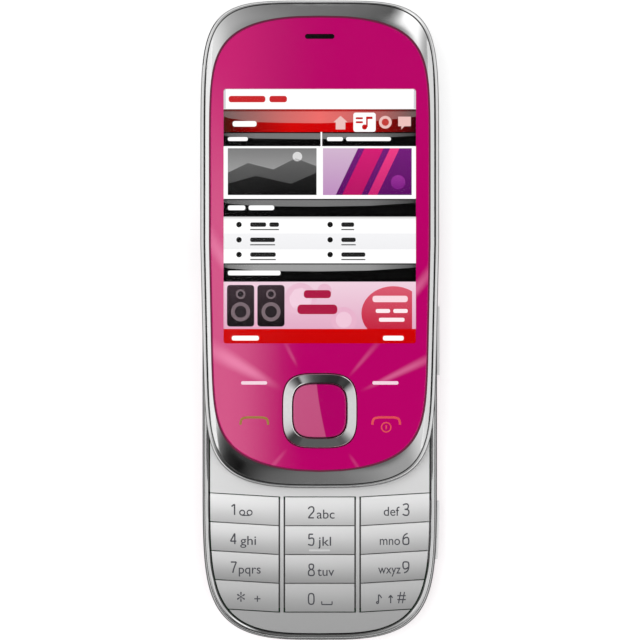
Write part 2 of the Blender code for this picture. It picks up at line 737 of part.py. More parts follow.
def squircle(half, y):
    points = outline(half, half, NAV_POWERS, NAV_POWERS, NAV_STEPS, NAV_POWERS)
    return [(across, y + along) for across, along in points]


def rounded_rectangle(middle, half_width, half_length, corner, steps):
    points = []
    for quarter, (side, end) in enumerate(((1, 1), (-1, 1), (-1, -1), (1, -1))):
        x = middle[0] + side * (half_width - corner)
        y = middle[1] + end * (half_length - corner)
        for step in range(steps + 1):
            angle = math.pi / 2 * (quarter + step / steps)
            points.append((x + corner * math.cos(angle), y + corner * math.sin(angle)))
    return points


def circle(x, y, radius, sides):
    angles = [math.tau * i / sides for i in range(sides)]
    return [(x + radius * math.cos(angle), y + radius * math.sin(angle)) for angle in angles]


def part_of(points, limit, side):
    """The piece of an outline above (side 1) or below (side -1) a line across it."""
    kept = []
    for (x, y), (next_x, next_y) in zip(points, points[1:] + points[:1]):
        if side * (y - limit) >= 0:
            kept.append((x, y))
        if (y - limit) * (next_y - limit) < 0:
            share = (limit - y) / (next_y - y)
            kept.append((x + share * (next_x - x), limit))
    return kept


def side_strip(low, high, outer_inset, inner_inset, bottom, top):
    """A strip that follows the right side between two insets."""
    rows = [low + (high - low) * step / SIDE_KEY_STEPS for step in range(SIDE_KEY_STEPS + 1)]
    outer = [(side_x(y, outer_inset), y) for y in rows]
    inner = [(side_x(y, inner_inset), y) for y in reversed(rows)]
    return plate([outer + inner], bottom, top)


def bent(points, radii, steps):
    """A path with an arc of its own radius at each inner corner."""
    path = [Vector(points[0])]
    for before, corner, after, radius in zip(points, points[1:], points[2:], radii):
        arriving = (Vector(corner) - Vector(before)).normalized()
        leaving = (Vector(after) - Vector(corner)).normalized()
        turn = arriving.angle_signed(leaving)
        first = Vector(corner) - arriving * radius * abs(math.tan(turn / 2))
        inward = (leaving - arriving * arriving.dot(leaving)).normalized()
        centre = first + inward * radius
        for step in range(steps + 1):
            spin = Matrix.Rotation(-turn * step / steps, 2)
            point = centre + spin @ (first - centre)
            if (point - path[-1]).length > WELD:
                path.append(point)
    path.append(Vector(points[-1]))
    return path


def strip_outline(path, thickness):
    """Both faces of a thin strip whose middle follows a path."""
    near = []
    far = []
    for i, point in enumerate(path):
        along = (path[min(i + 1, len(path) - 1)] - path[max(i - 1, 0)]).normalized()
        across = Vector((-along.y, along.x)) * thickness / 2
        near.append((point + across).to_tuple())
        far.append((point - across).to_tuple())
    return near + far[::-1]


BASE = carrier("base_half", (0, BASE_Y, 0))
DISPLAY = carrier("display_half", (0, DISPLAY_Y, 0))

GLOSS_PINK = finish("gloss_pink", PINK, 0.08)
SATIN_PINK = finish("satin_pink", PINK_SOFT, 0.35)
SATIN_SILVER = finish("satin_silver", SILVER, 0.3, 0.9)
PAINTED_SILVER = finish("painted_silver", KEY_SILVER, 0.35, 0.5)
BRIGHT_CHROME = finish("bright_chrome", CHROME, 0.06, 1)
SHEET_STEEL = finish("sheet_steel", STEEL, 0.35, 1)
BLACK_GLOSS = finish("black_gloss", BLACK, 0.1)
DARK_PLASTIC = finish("dark_plastic", GREY_PLASTIC, 0.5)
RUBBER = finish("rubber", RUBBER_GREY, 0.7)
BOARD = finish("circuit_board", BOARD_GREEN, 0.4)
BATTERY_SKIN = finish("battery_skin", BATTERY_GREY, 0.45)
FLEX_FILM = finish("flex_film", POLYIMIDE, 0.3)
LCD_FACE = finish("lcd_face", SCREEN_WHITE, 0.2)
CLEAR_PLASTIC = finish("clear_plastic", CLEAR, 0.02, 0, 1)


def back_shell(name, label, low, high):
    """A piece of the back cover: a rounded tray whose walls point up, cut across at both lines."""
    outer = []
    inner = []
    for inward, up in BACK_PROFILE_SHARES:
        inset = BACK_TOP_INSET + inward * (BACK_ROUNDING - BACK_TOP_INSET)
        outer.append((body_outline(inset), up * BACK_DEPTH))
        inner.append((body_outline(inset + BACK_SKIN), BACK_SKIN + up * (BACK_DEPTH - BACK_SKIN)))
    shell = part(name, loft(outer + inner[::-1]), SATIN_PINK, BASE)
    reach_x = HALF_WIDTH + OVERRUN
    keep(shell, label, box((-reach_x, low, -OVERRUN), (reach_x, high, BACK_DEPTH + OVERRUN)))
    return shell


def covers():
    far = HALF_LENGTH + OVERRUN
    back_shell("battery_cover", "lower_part", -far, COVER_SPLIT - COVER_SEAM / 2)
    upper = back_shell("antenna_cover", "upper_part", COVER_SPLIT + COVER_SEAM / 2, far)
    cut(upper, "camera_hole", rod(CAMERA_FOOT, CAMERA_RING_RADIUS + FIT_GAP, BACK_DEPTH + OVERRUN))
    slots = []
    for i in range(SPEAKER_SLOTS):
        y = SPEAKER_Y + (i - (SPEAKER_SLOTS - 1) / 2) * SPEAKER_SLOT_PITCH
        half_length = SPEAKER_SLOT_LENGTH / 2
        half_width = SPEAKER_SLOT_WIDTH / 2
        hole = rounded_rectangle((SPEAKER_X, y), half_length, half_width, half_width, SCREEN_CORNER_STEPS)
        slots.append(plate([hole], -OVERRUN, BACK_SKIN + OVERRUN))
    cut(upper, "speaker_slots", *slots)
    cut(upper, "sockets", *nose_holes())


def nose_holes():
    """Round holes in the top wall for the two sockets."""
    holes = []
    for x, rise, radius in (
        (JACK_X, JACK_AXIS, JACK_NOSE_RADIUS),
        (CHARGER_X, CHARGER_AXIS, CHARGER_NOSE_RADIUS),
    ):
        foot = (x, HALF_LENGTH - JACK_FROM_TOP, rise)
        holes.append(rod(foot, radius + FIT_GAP, JACK_FROM_TOP + OVERRUN, "Y"))
    return holes


def side_slot(y, length):
    """The slot in the right wall that a side key comes through."""
    half = length / 2 + POCKET_GAP
    low = SIDE_KEY_RISE - SIDE_KEY_HEIGHT / 2 - FIT_GAP
    high = low + SIDE_KEY_HEIGHT + 2 * FIT_GAP
    return side_strip(y - half, y + half, -OVERRUN, BASE_WALL + OVERRUN, low, high)


def base_frame():
    """The silver band round the base, with its raised rim and the holes for sockets and keys."""
    height = BASE_CREST - BASE_FRAME_BOTTOM
    rings = []
    for inward, up in BASE_BAND_SHARES:
        rings.append((body_outline(inward * RIM_CREST_INSET), BASE_FRAME_BOTTOM + up * height))
    for inward, down in RIM_INNER_SHARES:
        inset = RIM_CREST_INSET + inward * (BASE_WALL - RIM_CREST_INSET)
        rings.append((body_outline(inset), BASE_CREST - down * RIM_DROP))
    rings.append((body_outline(BASE_WALL), BASE_FRAME_BOTTOM))
    frame = part("base_frame", loft(rings, closed=True), SATIN_SILVER, BASE)
    cut(frame, "sockets", *nose_holes())
    cut(frame, "usb_hole", usb_block(-HALF_WIDTH - OVERRUN, USB_DEPTH, POCKET_GAP))
    cut(frame, "camera_key_slot", side_slot(CAMERA_KEY_Y, CAMERA_KEY_LENGTH))
    cut(frame, "volume_key_slot", side_slot(VOLUME_KEY_Y, VOLUME_KEY_LENGTH))
    foot = (MICROPHONE_X, -HALF_LENGTH - OVERRUN, MICROPHONE_AXIS)
    hole = rod(foot, MICROPHONE_HOLE, BASE_WALL + 2 * OVERRUN, "Y", SMALL_ROUND_SIDES)
    cut(frame, "microphone_hole", hole)


def usb_block(start, depth, gap):
    """The socket's box, grown by a gap, from its outer face inwards."""
    half = USB_WIDTH / 2 + gap
    low = (start, USB_Y - half, UNDER_BOARD - USB_HEIGHT - gap)
    return box(low, (-HALF_WIDTH + USB_RECESS + depth, USB_Y + half, UNDER_BOARD + gap))


def pocket(middle, sizes, bottom):
    """Room in the rear frame for a piece that hangs from the board."""
    grown = (sizes[0] + 2 * POCKET_GAP, sizes[1] + 2 * POCKET_GAP)
    return centred_box(middle, grown, bottom - POCKET_GAP, REAR_FRAME_TOP + OVERRUN)


def rear_frame():
    """The dark moulding between the covers and the board, with a well for the battery."""
    rings = []
    for inward, up in BACK_PROFILE_SHARES[::2]:
        inset = REAR_FRAME_INSET + inward * (BACK_ROUNDING - BACK_TOP_INSET)
        rings.append((body_outline(inset), REAR_FRAME_BOTTOM + up * (BACK_DEPTH - BACK_SKIN)))
    rings.append((rings[-1][0], REAR_FRAME_TOP))
    frame = part("rear_frame", loft(rings), DARK_PLASTIC, BASE)
    half = BATTERY_HALF_WIDTH + POCKET_GAP
    well_top = REAR_FRAME_TOP - WELL_CEILING
    low = (-half, WELL_BOTTOM - POCKET_GAP, -OVERRUN)
    cut(frame, "battery_well", box(low, (half, WELL_TOP + POCKET_GAP, well_top)))
    connector = (CONNECTOR_WIDTH, CONNECTOR_DEPTH)
    cut(frame, "connector", pocket((0, CONNECTOR_Y), connector, UNDER_BOARD - CONNECTOR_HEIGHT))
    cards = [
        pocket((SIM_X, SIM_Y), (SIM_WIDTH, SIM_LENGTH), UNDER_BOARD - CARD_HEIGHT),
        pocket((CARD_X, CARD_Y), (CARD_WIDTH, CARD_LENGTH), UNDER_BOARD - CARD_HEIGHT),
    ]
    cut(frame, "cards", *cards)
    upper = [
        pocket((SPEAKER_X, SPEAKER_Y), (SPEAKER_WIDTH, SPEAKER_LENGTH), -OVERRUN),
        pocket((0, CAMERA_Y), (CAMERA_SIZE, CAMERA_SIZE), -OVERRUN),
        pocket((MOTOR_MIDDLE, MOTOR_Y), (MOTOR_SPAN, 2 * MOTOR_RADIUS), MOTOR_AXIS - MOTOR_RADIUS),
        pocket((JACK_X, JACK_Y), (JACK_WIDTH, JACK_LENGTH), JACK_AXIS - JACK_HEIGHT / 2),
        pocket((CHARGER_X, CHARGER_Y), (CHARGER_WIDTH, CHARGER_LENGTH), UNDER_BOARD - CHARGER_HEIGHT),
    ]
    cut(frame, "upper_pockets", *upper)
    cut(frame, "sockets", *nose_holes())
    cut(frame, "usb_pocket", usb_block(-HALF_WIDTH - OVERRUN, USB_DEPTH + POCKET_GAP, POCKET_GAP))
    foot = (MICROPHONE_X, MICROPHONE_Y, UNDER_BOARD - MICROPHONE_HEIGHT - POCKET_GAP)
    cut(frame, "microphone", rod(foot, MICROPHONE_RADIUS + POCKET_GAP, MICROPHONE_HEIGHT + OVERRUN))
    foot = (MICROPHONE_X, -HALF_LENGTH - OVERRUN, MICROPHONE_AXIS)
    sound = rod(foot, MICROPHONE_HOLE, MICROPHONE_FROM_BOTTOM + OVERRUN, "Y", SMALL_ROUND_SIDES)
    cut(frame, "microphone_hole", sound)
    side_key_room(frame, "camera", CAMERA_KEY_Y, CAMERA_KEY_LENGTH, SWITCH_LENGTH)
    side_key_room(frame, "volume", VOLUME_KEY_Y, VOLUME_KEY_LENGTH, VOLUME_SWITCH_LENGTH)
    shank = SCREW_SHANK_RADIUS + FIT_GAP
    for i, (x, y) in enumerate(SCREW_PLACES):
        cut(frame, f"screw_hole_{i}", rod((x, y, -OVERRUN), shank, REAR_FRAME_TOP + 2 * OVERRUN))
        head = SCREW_HEAD_RADIUS + FIT_GAP
        cut(frame, f"screw_seat_{i}", rod((x, y, -OVERRUN), head, OVERRUN + SCREW_SEAT))


def side_key_room(frame, label, y, length, switch_length):
    """Room in the rear frame for a side key's flange and for the switch behind it."""
    half = length / 2 + SIDE_KEY_LIP + RUNNING_GAP
    low = SIDE_KEY_RISE - SIDE_KEY_HEIGHT / 2 - SIDE_KEY_LIP - RUNNING_GAP
    top = REAR_FRAME_TOP + OVERRUN
    depth = FLANGE_INNER_INSET + SIDE_KEY_PLAY
    x = side_x(y, depth)
    cut(frame, f"{label}_flange_room", side_strip(y - half, y + half, -OVERRUN, depth, low, top))
    room = (SWITCH_DEPTH + 2 * SIDE_KEY_PLAY, switch_length + 2 * POCKET_GAP)
    cut(frame, f"{label}_switch_room", centred_box((x - SWITCH_DEPTH / 2, y), room, low, top))


def battery():
    low = (-BATTERY_HALF_WIDTH, WELL_BOTTOM, BACK_SKIN + BATTERY_LIFT)
    high = (BATTERY_HALF_WIDTH, WELL_TOP, BACK_SKIN + BATTERY_LIFT + BATTERY_THICKNESS)
    part("battery", box(low, high, BATTERY_EDGE), BATTERY_SKIN, BASE)
    size = (CONNECTOR_WIDTH, CONNECTOR_DEPTH)
    block = centred_box((0, CONNECTOR_Y), size, UNDER_BOARD - CONNECTOR_HEIGHT, UNDER_BOARD)
    part("battery_connector", block, BLACK_GLOSS, BASE)


def main_board():
    board = part("main_board", plate([body_outline(BOARD_INSET)], BOARD_BOTTOM, BOARD_TOP), BOARD, BASE)
    low = BOARD_BOTTOM - OVERRUN
    high = BOARD_TOP + OVERRUN
    notch = (JACK_X, JACK_Y + OVERRUN)
    room = (JACK_WIDTH + 2 * POCKET_GAP, JACK_LENGTH + 2 * (POCKET_GAP + OVERRUN + JACK_FROM_TOP))
    cut(board, "jack_notch", centred_box(notch, room, low, high))
    for label, y, length in (
        ("camera", CAMERA_KEY_Y, CAMERA_KEY_LENGTH),
        ("volume", VOLUME_KEY_Y, VOLUME_KEY_LENGTH),
    ):
        half = length / 2 + SIDE_KEY_LIP + RUNNING_GAP
        inner = FLANGE_INNER_INSET + SIDE_KEY_PLAY
        cut(board, f"{label}_key_notch", side_strip(y - half, y + half, -OVERRUN, inner, low, high))
    holes = [rod((x, y, low), SCREW_SHANK_RADIUS + FIT_GAP, high - low) for x, y in SCREW_PLACES]
    cut(board, "screw_holes", *holes)


def board_shield():
    """A folded steel can over the chips on top of the board."""
    half = HALF_WIDTH - SHIELD_SIDE_MARGIN
    high = HALF_LENGTH - SHIELD_FROM_TOP
    bottom = BOARD_TOP + MAT_GAP
    can = box((-half, high - SHIELD_LENGTH, bottom), (half, high, bottom + SHIELD_HEIGHT))
    shield = part("board_shield", can, SHEET_STEEL, BASE)
    inner = half - SHIELD_SHEET
    low = (-inner, high - SHIELD_LENGTH + SHIELD_SHEET, bottom - OVERRUN)
    cut(shield, "hollow", box(low, (inner, high - SHIELD_SHEET, bottom + SHIELD_HEIGHT - SHIELD_SHEET)))


def card_holders():
    for name, x, y, size in (
        ("sim_holder", SIM_X, SIM_Y, (SIM_WIDTH, SIM_LENGTH)),
        ("memory_card_slot", CARD_X, CARD_Y, (CARD_WIDTH, CARD_LENGTH)),
    ):
        tray = centred_box((x, y), size, UNDER_BOARD - CARD_HEIGHT, UNDER_BOARD)
        holder = part(name, tray, SHEET_STEEL, BASE)
        mouth = (size[0] - 2 * CARD_RAIL, size[1])
        middle = (x, y - CARD_RAIL)
        low = UNDER_BOARD - CARD_HEIGHT + CARD_SHEET
        cut(holder, "card_way", centred_box(middle, mouth, low, UNDER_BOARD - CARD_SHEET))


def loudspeaker():
    low = BACK_SKIN + FIT_GAP
    step = low + SPEAKER_STEP
    middle = (SPEAKER_X, SPEAKER_Y)
    body = centred_box(middle, (SPEAKER_WIDTH, SPEAKER_LENGTH), step, UNDER_BOARD, SPEAKER_EDGE)
    speaker = part("loudspeaker", body, DARK_PLASTIC, BASE)
    inner = (SPEAKER_WIDTH - 2 * SPEAKER_RIM, SPEAKER_LENGTH - 2 * SPEAKER_RIM)
    join(speaker, "gasket", centred_box(middle, inner, low, step + SPEAKER_RIM))


def camera():
    """The camera in its chrome ring, with a clear lens window in front."""
    top = CAMERA_RING_RECESS + CAMERA_RING_HEIGHT
    flange = CAMERA_RING_RADIUS + CAMERA_FLANGE
    bottom = BACK_SKIN + MAT_GAP
    profile = [
        (flange, top),
        (flange, bottom),
        (CAMERA_RING_RADIUS, bottom),
        (CAMERA_RING_RADIUS, CAMERA_RING_RECESS + CAMERA_RING_BEVEL),
        (CAMERA_RING_RADIUS - CAMERA_RING_BEVEL, CAMERA_RING_RECESS),
        (CAMERA_RING_INNER + CAMERA_RING_BEVEL, CAMERA_RING_RECESS),
        (CAMERA_RING_INNER, CAMERA_RING_RECESS + CAMERA_RING_BEVEL),
        (CAMERA_RING_INNER, top),
    ]
    ring = moved(turned(profile, closed=True), (0, CAMERA_Y, 0))
    part("camera_ring", ring, BRIGHT_CHROME, BASE)
    foot = (0, CAMERA_Y, CAMERA_LENS_RECESS)
    part("camera_lens", rod(foot, CAMERA_RING_INNER - FIT_GAP, CAMERA_LENS_HEIGHT), CLEAR_PLASTIC, BASE)
    low = UNDER_BOARD - CAMERA_HEIGHT
    module = centred_box((0, CAMERA_Y), (CAMERA_SIZE, CAMERA_SIZE), low, UNDER_BOARD)
    camera_module = part("camera_module", module, DARK_PLASTIC, BASE)
    foot = (0, CAMERA_Y, low - CAMERA_BARREL_HEIGHT)
    join(camera_module, "barrel", rod(foot, CAMERA_BARREL, CAMERA_BARREL_HEIGHT + CAMERA_BARREL))
    eye = (0, CAMERA_Y, foot[2] - OVERRUN)
    cut(camera_module, "aperture", rod(eye, CAMERA_APERTURE, OVERRUN + CAMERA_APERTURE))


def vibration_motor():
    """A small motor along X, with a half-round weight on its shaft."""
    foot = (MOTOR_START, MOTOR_Y, MOTOR_AXIS)
    motor = part("vibration_motor", rod(foot, MOTOR_RADIUS, MOTOR_LENGTH, "X"), SHEET_STEEL, BASE)
    middle = (MOTOR_START + MOTOR_LENGTH / 2, MOTOR_Y)
    join(motor, "cradle", centred_box(middle, (MOTOR_LENGTH / 2, MOTOR_RADIUS), MOTOR_AXIS, UNDER_BOARD))
    mouth = (MOTOR_START - OVERRUN, MOTOR_Y, MOTOR_AXIS)
    depth = OVERRUN + MOTOR_SHAFT_SEAT + FIT_GAP
    cut(motor, "bearing", rod(mouth, MOTOR_SHAFT_RADIUS + FIT_GAP, depth, "X"))
    shaft_start = MOTOR_START - MOTOR_NECK_LENGTH - MOTOR_WEIGHT_LENGTH
    pivot = (shaft_start, MOTOR_Y, MOTOR_AXIS)
    axle = rod(pivot, MOTOR_SHAFT_RADIUS, MOTOR_START + MOTOR_SHAFT_SEAT - shaft_start, "X")
    weight = part("motor_weight", axle, SHEET_STEEL, BASE, pivot)
    half_round = [
        (MOTOR_Y + WEIGHT_RADIUS * math.cos(angle), MOTOR_AXIS - WEIGHT_RADIUS * math.sin(angle))
        for angle in (math.pi * i / SMALL_ROUND_SIDES for i in range(SMALL_ROUND_SIDES + 1))
    ]
    join(weight, "half_round", bar_along_x(half_round, shaft_start, shaft_start + MOTOR_WEIGHT_LENGTH))


def sockets():
    """The headset, charging and data sockets, each with its own mouth."""
    for name, x, y, rise, size, height, nose, nose_length, bore, depth in (
        ("headset_jack", JACK_X, JACK_Y, JACK_AXIS, (JACK_WIDTH, JACK_LENGTH), JACK_HEIGHT,
         JACK_NOSE_RADIUS, JACK_NOSE_LENGTH, JACK_BORE, JACK_BORE_DEPTH),
        ("charging_socket", CHARGER_X, CHARGER_Y, CHARGER_AXIS, (CHARGER_WIDTH, CHARGER_LENGTH),
         CHARGER_HEIGHT, CHARGER_NOSE_RADIUS, CHARGER_NOSE_LENGTH, CHARGER_BORE, CHARGER_BORE_DEPTH),
    ):
        block = centred_box((x, y), size, rise - height / 2, rise + height / 2)
        socket = part(name, block, BLACK_GLOSS, BASE)
        front = y + size[1] / 2
        overlap = nose_length / 2
        join(socket, "nose", rod((x, front - overlap, rise), nose, overlap + nose_length, "Y"))
        mouth = front + nose_length
        cut(socket, "bore", rod((x, mouth - depth, rise), bore, depth + OVERRUN, "Y"))
    start = -HALF_WIDTH + USB_RECESS
    usb = part("usb_socket", usb_block(start, USB_DEPTH, 0), SHEET_STEEL, BASE)
    half = USB_WIDTH / 2 - USB_SHELL
    low = (start - OVERRUN, USB_Y - half, UNDER_BOARD - USB_HEIGHT + USB_SHELL)
    cut(usb, "mouth", box(low, (start + USB_MOUTH_DEPTH, USB_Y + half, UNDER_BOARD - USB_SHELL)))


def microphone():
    foot = (MICROPHONE_X, MICROPHONE_Y, UNDER_BOARD - MICROPHONE_HEIGHT)
    can = part("microphone", rod(foot, MICROPHONE_RADIUS, MICROPHONE_HEIGHT), SHEET_STEEL, BASE)
    mouth = (MICROPHONE_X, MICROPHONE_Y, foot[2] - OVERRUN)
    depth = OVERRUN + MICROPHONE_HEIGHT / 2
    cut(can, "mouth", rod(mouth, MICROPHONE_HOLE, depth, "Z", SMALL_ROUND_SIDES))


def slanted(mesh, side):
    """Tilt the rows of an outer column up towards the side."""
    slope = side * KEY_SLANT / (HALF_WIDTH - DECK_INSET - OUTER_KEY_START)
    shear = Matrix.Identity(4)
    shear[1][0] = slope
    shear[1][3] = -slope * side * OUTER_KEY_START
    mesh.transform(shear)
    return mesh


def keypad_fascia():
    """The silver deck: a top panel and a chin joined by two strips between the keys."""
    deck = plate([body_outline(DECK_INSET)], FASCIA_BOTTOM, FASCIA_TOP)
    fascia = part("keypad_fascia", deck, PAINTED_SILVER, BASE)
    low = KEYPAD_BOTTOM - KEY_GAP / 2
    high = KEYPAD_TOP + KEY_GAP / 2
    bottom = FASCIA_BOTTOM - OVERRUN
    top = FASCIA_TOP + OVERRUN
    windows = [box((-STRIP_START, low, bottom), (STRIP_START, high, top))]
    for side in (-1, 1):
        edges = sorted((side * (STRIP_START + STRIP_WIDTH), side * (HALF_WIDTH + OVERRUN)))
        windows.append(slanted(box((edges[0], low, bottom), (edges[1], high, top)), side))
    cut(fascia, "key_windows", *windows)
    boss_bottom = BOARD_TOP + FIT_GAP
    height = FASCIA_BOTTOM + FASCIA_THICKNESS / 2 - boss_bottom
    bosses = [rod((x, y, boss_bottom), BOSS_RADIUS, height) for x, y in SCREW_PLACES]
    join(fascia, "bosses", *bosses)
    bore_bottom = boss_bottom - OVERRUN
    depth = SCREW_TIP + FIT_GAP - bore_bottom
    bores = [rod((x, y, bore_bottom), SCREW_SHANK_RADIUS + FIT_GAP, depth) for x, y in SCREW_PLACES]
    cut(fascia, "screw_bores", *bores)
    cut(fascia, "flex_slot", flex_slot(FLEX_Y, bottom, top))


def flex_slot(y, bottom, top):
    return centred_box((0, y), (FLEX_WIDTH + 2 * RUNNING_GAP, FLEX_SLOT), bottom, top)


def key_layers():
    """The dome sheet on the board and the rubber mat over it."""
    limit = KEY_ROW_PITCH / SMALL_ROUND_SIDES
    area = part_of(body_outline(MAT_INSET), KEYPAD_BOTTOM + limit, 1)
    area = part_of(area, KEYPAD_TOP - limit, -1)
    part("keypad_mat", plate([area], MAT_BOTTOM, MAT_TOP), RUBBER, BASE)
    sheet = part("dome_sheet", plate([area], DOME_SHEET_BOTTOM, DOME_SHEET_TOP), SHEET_STEEL, BASE)
    overlap = DOME_SHEET_THICKNESS / 2
    domes = []
    for row in range(KEY_ROWS):
        y = KEYPAD_TOP - (row + 0.5) * KEY_ROW_PITCH
        for side in (-1, 0, 1):
            rise = abs(side) * KEY_SLANT / 2
            foot = (side * OUTER_DOME_X, y + rise, DOME_SHEET_TOP - overlap)
            height = overlap + DOME_HEIGHT
            domes.append(rod(foot, DOME_RADIUS, height, "Z", SMALL_ROUND_SIDES, DOME_FLAT_RADIUS))
    join(sheet, "domes", *domes)


def keys():
    """Twelve keys in three columns, each crowned from its lower edge to its upper one."""
    names = (
        ("key_1", "key_2", "key_3"),
        ("key_4", "key_5", "key_6"),
        ("key_7", "key_8", "key_9"),
        ("key_star", "key_0", "key_hash"),
    )
    for row, row_names in enumerate(names):
        high = KEYPAD_TOP - row * KEY_ROW_PITCH - KEY_GAP / 2
        low = high - KEY_ROW_PITCH + KEY_GAP
        for side, name in zip((-1, 0, 1), row_names):
            crowned_key(name, side, low, high)


def crowned_key(name, side, low, high):
    shoulder = KEY_TOP - KEY_CROWN
    profile = [(low, KEY_BOTTOM), (high, KEY_BOTTOM)]
    for step in range(KEY_CROWN_STEPS + 1):
        share = step / KEY_CROWN_STEPS
        profile.append((high + share * (low - high), shoulder + KEY_CROWN * math.sin(math.pi * share)))
    if side == 0:
        mesh = bar_along_x(profile, -MIDDLE_KEY_HALF, MIDDLE_KEY_HALF)
        part(name, mesh, PAINTED_SILVER, BASE, (0, (low + high) / 2, KEY_BOTTOM))
        return
    ends = sorted((side * OUTER_KEY_START, side * (HALF_WIDTH + OVERRUN)))
    mesh = slanted(bar_along_x(profile, *ends), side)
    x = side * OUTER_DOME_X
    key = part(name, mesh, PAINTED_SILVER, BASE, (x, (low + high) / 2, KEY_BOTTOM))
    area = plate([body_outline(DECK_INSET)], KEY_BOTTOM - OVERRUN, KEY_TOP + OVERRUN)
    keep(key, "deck_edge", area)


def side_keys():
    """The volume rocker and the camera key, and the switches that they press."""
    for name, y, length, switch, switch_length in (
        ("volume_key", VOLUME_KEY_Y, VOLUME_KEY_LENGTH, "volume_switch", VOLUME_SWITCH_LENGTH),
        ("camera_key", CAMERA_KEY_Y, CAMERA_KEY_LENGTH, "camera_switch", SWITCH_LENGTH),
    ):
        bottom = SIDE_KEY_RISE - SIDE_KEY_HEIGHT / 2
        top = SIDE_KEY_RISE + SIDE_KEY_HEIGHT / 2
        inner = (FLANGE_OUTER_INSET + FLANGE_INNER_INSET) / 2
        neck = side_strip(y - length / 2, y + length / 2, -SIDE_KEY_PROUD, inner, bottom, top)
        pivot = (side_x(y, FLANGE_INNER_INSET), y, SIDE_KEY_RISE)
        key = part(name, neck, SATIN_SILVER, BASE, pivot)
        half = length / 2 + SIDE_KEY_LIP
        low = bottom - SIDE_KEY_LIP
        high = top + SIDE_KEY_LIP
        flange = side_strip(y - half, y + half, FLANGE_OUTER_INSET, FLANGE_INNER_INSET, low, high)
        join(key, "flange", flange)
        x = side_x(y, FLANGE_INNER_INSET + SIDE_KEY_PLAY) - SWITCH_DEPTH / 2
        block = centred_box((x, y), (SWITCH_DEPTH, switch_length), UNDER_BOARD - SWITCH_HEIGHT, UNDER_BOARD)
        part(switch, block, DARK_PLASTIC, BASE)


def screws():
    head_top = SCREW_SEAT - FIT_GAP
    head_bottom = head_top - SCREW_HEAD_HEIGHT
    profile = [
        (0, SCREW_TIP),
        (SCREW_SHANK_RADIUS, SCREW_TIP),
        (SCREW_SHANK_RADIUS, head_top),
        (SCREW_HEAD_RADIUS, head_top),
        (SCREW_HEAD_RADIUS, head_bottom),
        (SCREW_RECESS_RADIUS, head_bottom),
        (0, head_bottom + SCREW_RECESS_DEPTH),
    ]
    places = ("upper_left", "upper_right", "lower_left", "lower_right")
    for place, (x, y) in zip(places, SCREW_PLACES):
        screw = moved(turned(profile, sides=SMALL_ROUND_SIDES), (x, y, 0))
        part(f"screw_{place}", screw, SHEET_STEEL, BASE)


def slide_fixed_plate():
    """The hat-shaped plate on the deck, whose two flanges run in the rails."""
    runner = RAIL_INNER - RUNNING_GAP
    inner = runner - RUNNER_WIDTH
    riser = inner + SHEET
    right = [
        (riser, WEB_BOTTOM),
        (riser, RUNNER_BOTTOM),
        (runner, RUNNER_BOTTOM),
        (runner, RUNNER_TOP),
        (inner, RUNNER_TOP),
        (inner, WEB_TOP),
    ]
    left = [(-x, z) for x, z in reversed(right)]
    hat = bar_along_y(right + left, FIXED_PLATE_LOW, FIXED_PLATE_HIGH)
    fixed = part("slide_fixed_plate", hat, SHEET_STEEL, BASE)
    foot = (SPRING_PIN_X, SPRING_PIN_Y, WEB_TOP - SHEET / 2)
    height = MOVING_PLATE_BOTTOM - FIT_GAP - foot[2]
    join(fixed, "spring_pin", rod(foot, SPRING_PIN_RADIUS, height, "Z", SMALL_ROUND_SIDES))
    cut(fixed, "flex_slot", flex_slot(FLEX_Y, WEB_BOTTOM - OVERRUN, WEB_TOP + OVERRUN))


def slide_moving_plate():
    """The plate under the screen, with a C rail folded down each side."""
    wing = RAIL_OUTER + MOVING_PLATE_OVERLAP
    lip = RAIL_INNER - RAIL_LIP_WIDTH
    root = MOVING_PLATE_BOTTOM + SHEET / 2
    rail = [
        (RAIL_OUTER, root),
        (RAIL_OUTER, RAIL_BOTTOM),
        (lip, RAIL_BOTTOM),
        (lip, RAIL_SLOT_BOTTOM),
        (RAIL_INNER, RAIL_SLOT_BOTTOM),
        (RAIL_INNER, RAIL_SLOT_TOP),
        (lip, RAIL_SLOT_TOP),
        (lip, root),
    ]
    mirrored = [(-x, z) for x, z in reversed(rail)]
    low = POCKET_BOTTOM + RUNNING_GAP
    high = POCKET_TOP - RUNNING_GAP
    flat = box((-wing, low, MOVING_PLATE_BOTTOM), (wing, high, MOVING_PLATE_TOP))
    moving = part("slide_moving_plate", flat, SHEET_STEEL, DISPLAY)
    join(moving, "rails", bar_along_y(rail, low, high), bar_along_y(mirrored, low, high))
    bottom = WEB_TOP + POCKET_GAP
    foot = (-SPRING_PIN_X, SPRING_PIN_Y - SLIDE_TRAVEL / 2, bottom)
    height = MOVING_PLATE_BOTTOM + SHEET / 2 - bottom
    join(moving, "spring_pin", rod(foot, SPRING_PIN_RADIUS, height, "Z", SMALL_ROUND_SIDES))
    y = FLEX_Y - FLEX_LOWER_RUN + FLEX_UPPER_RUN - SLIDE_TRAVEL
    cut(moving, "flex_slot", flex_slot(y, RAIL_BOTTOM - OVERRUN, MOVING_PLATE_TOP + OVERRUN))


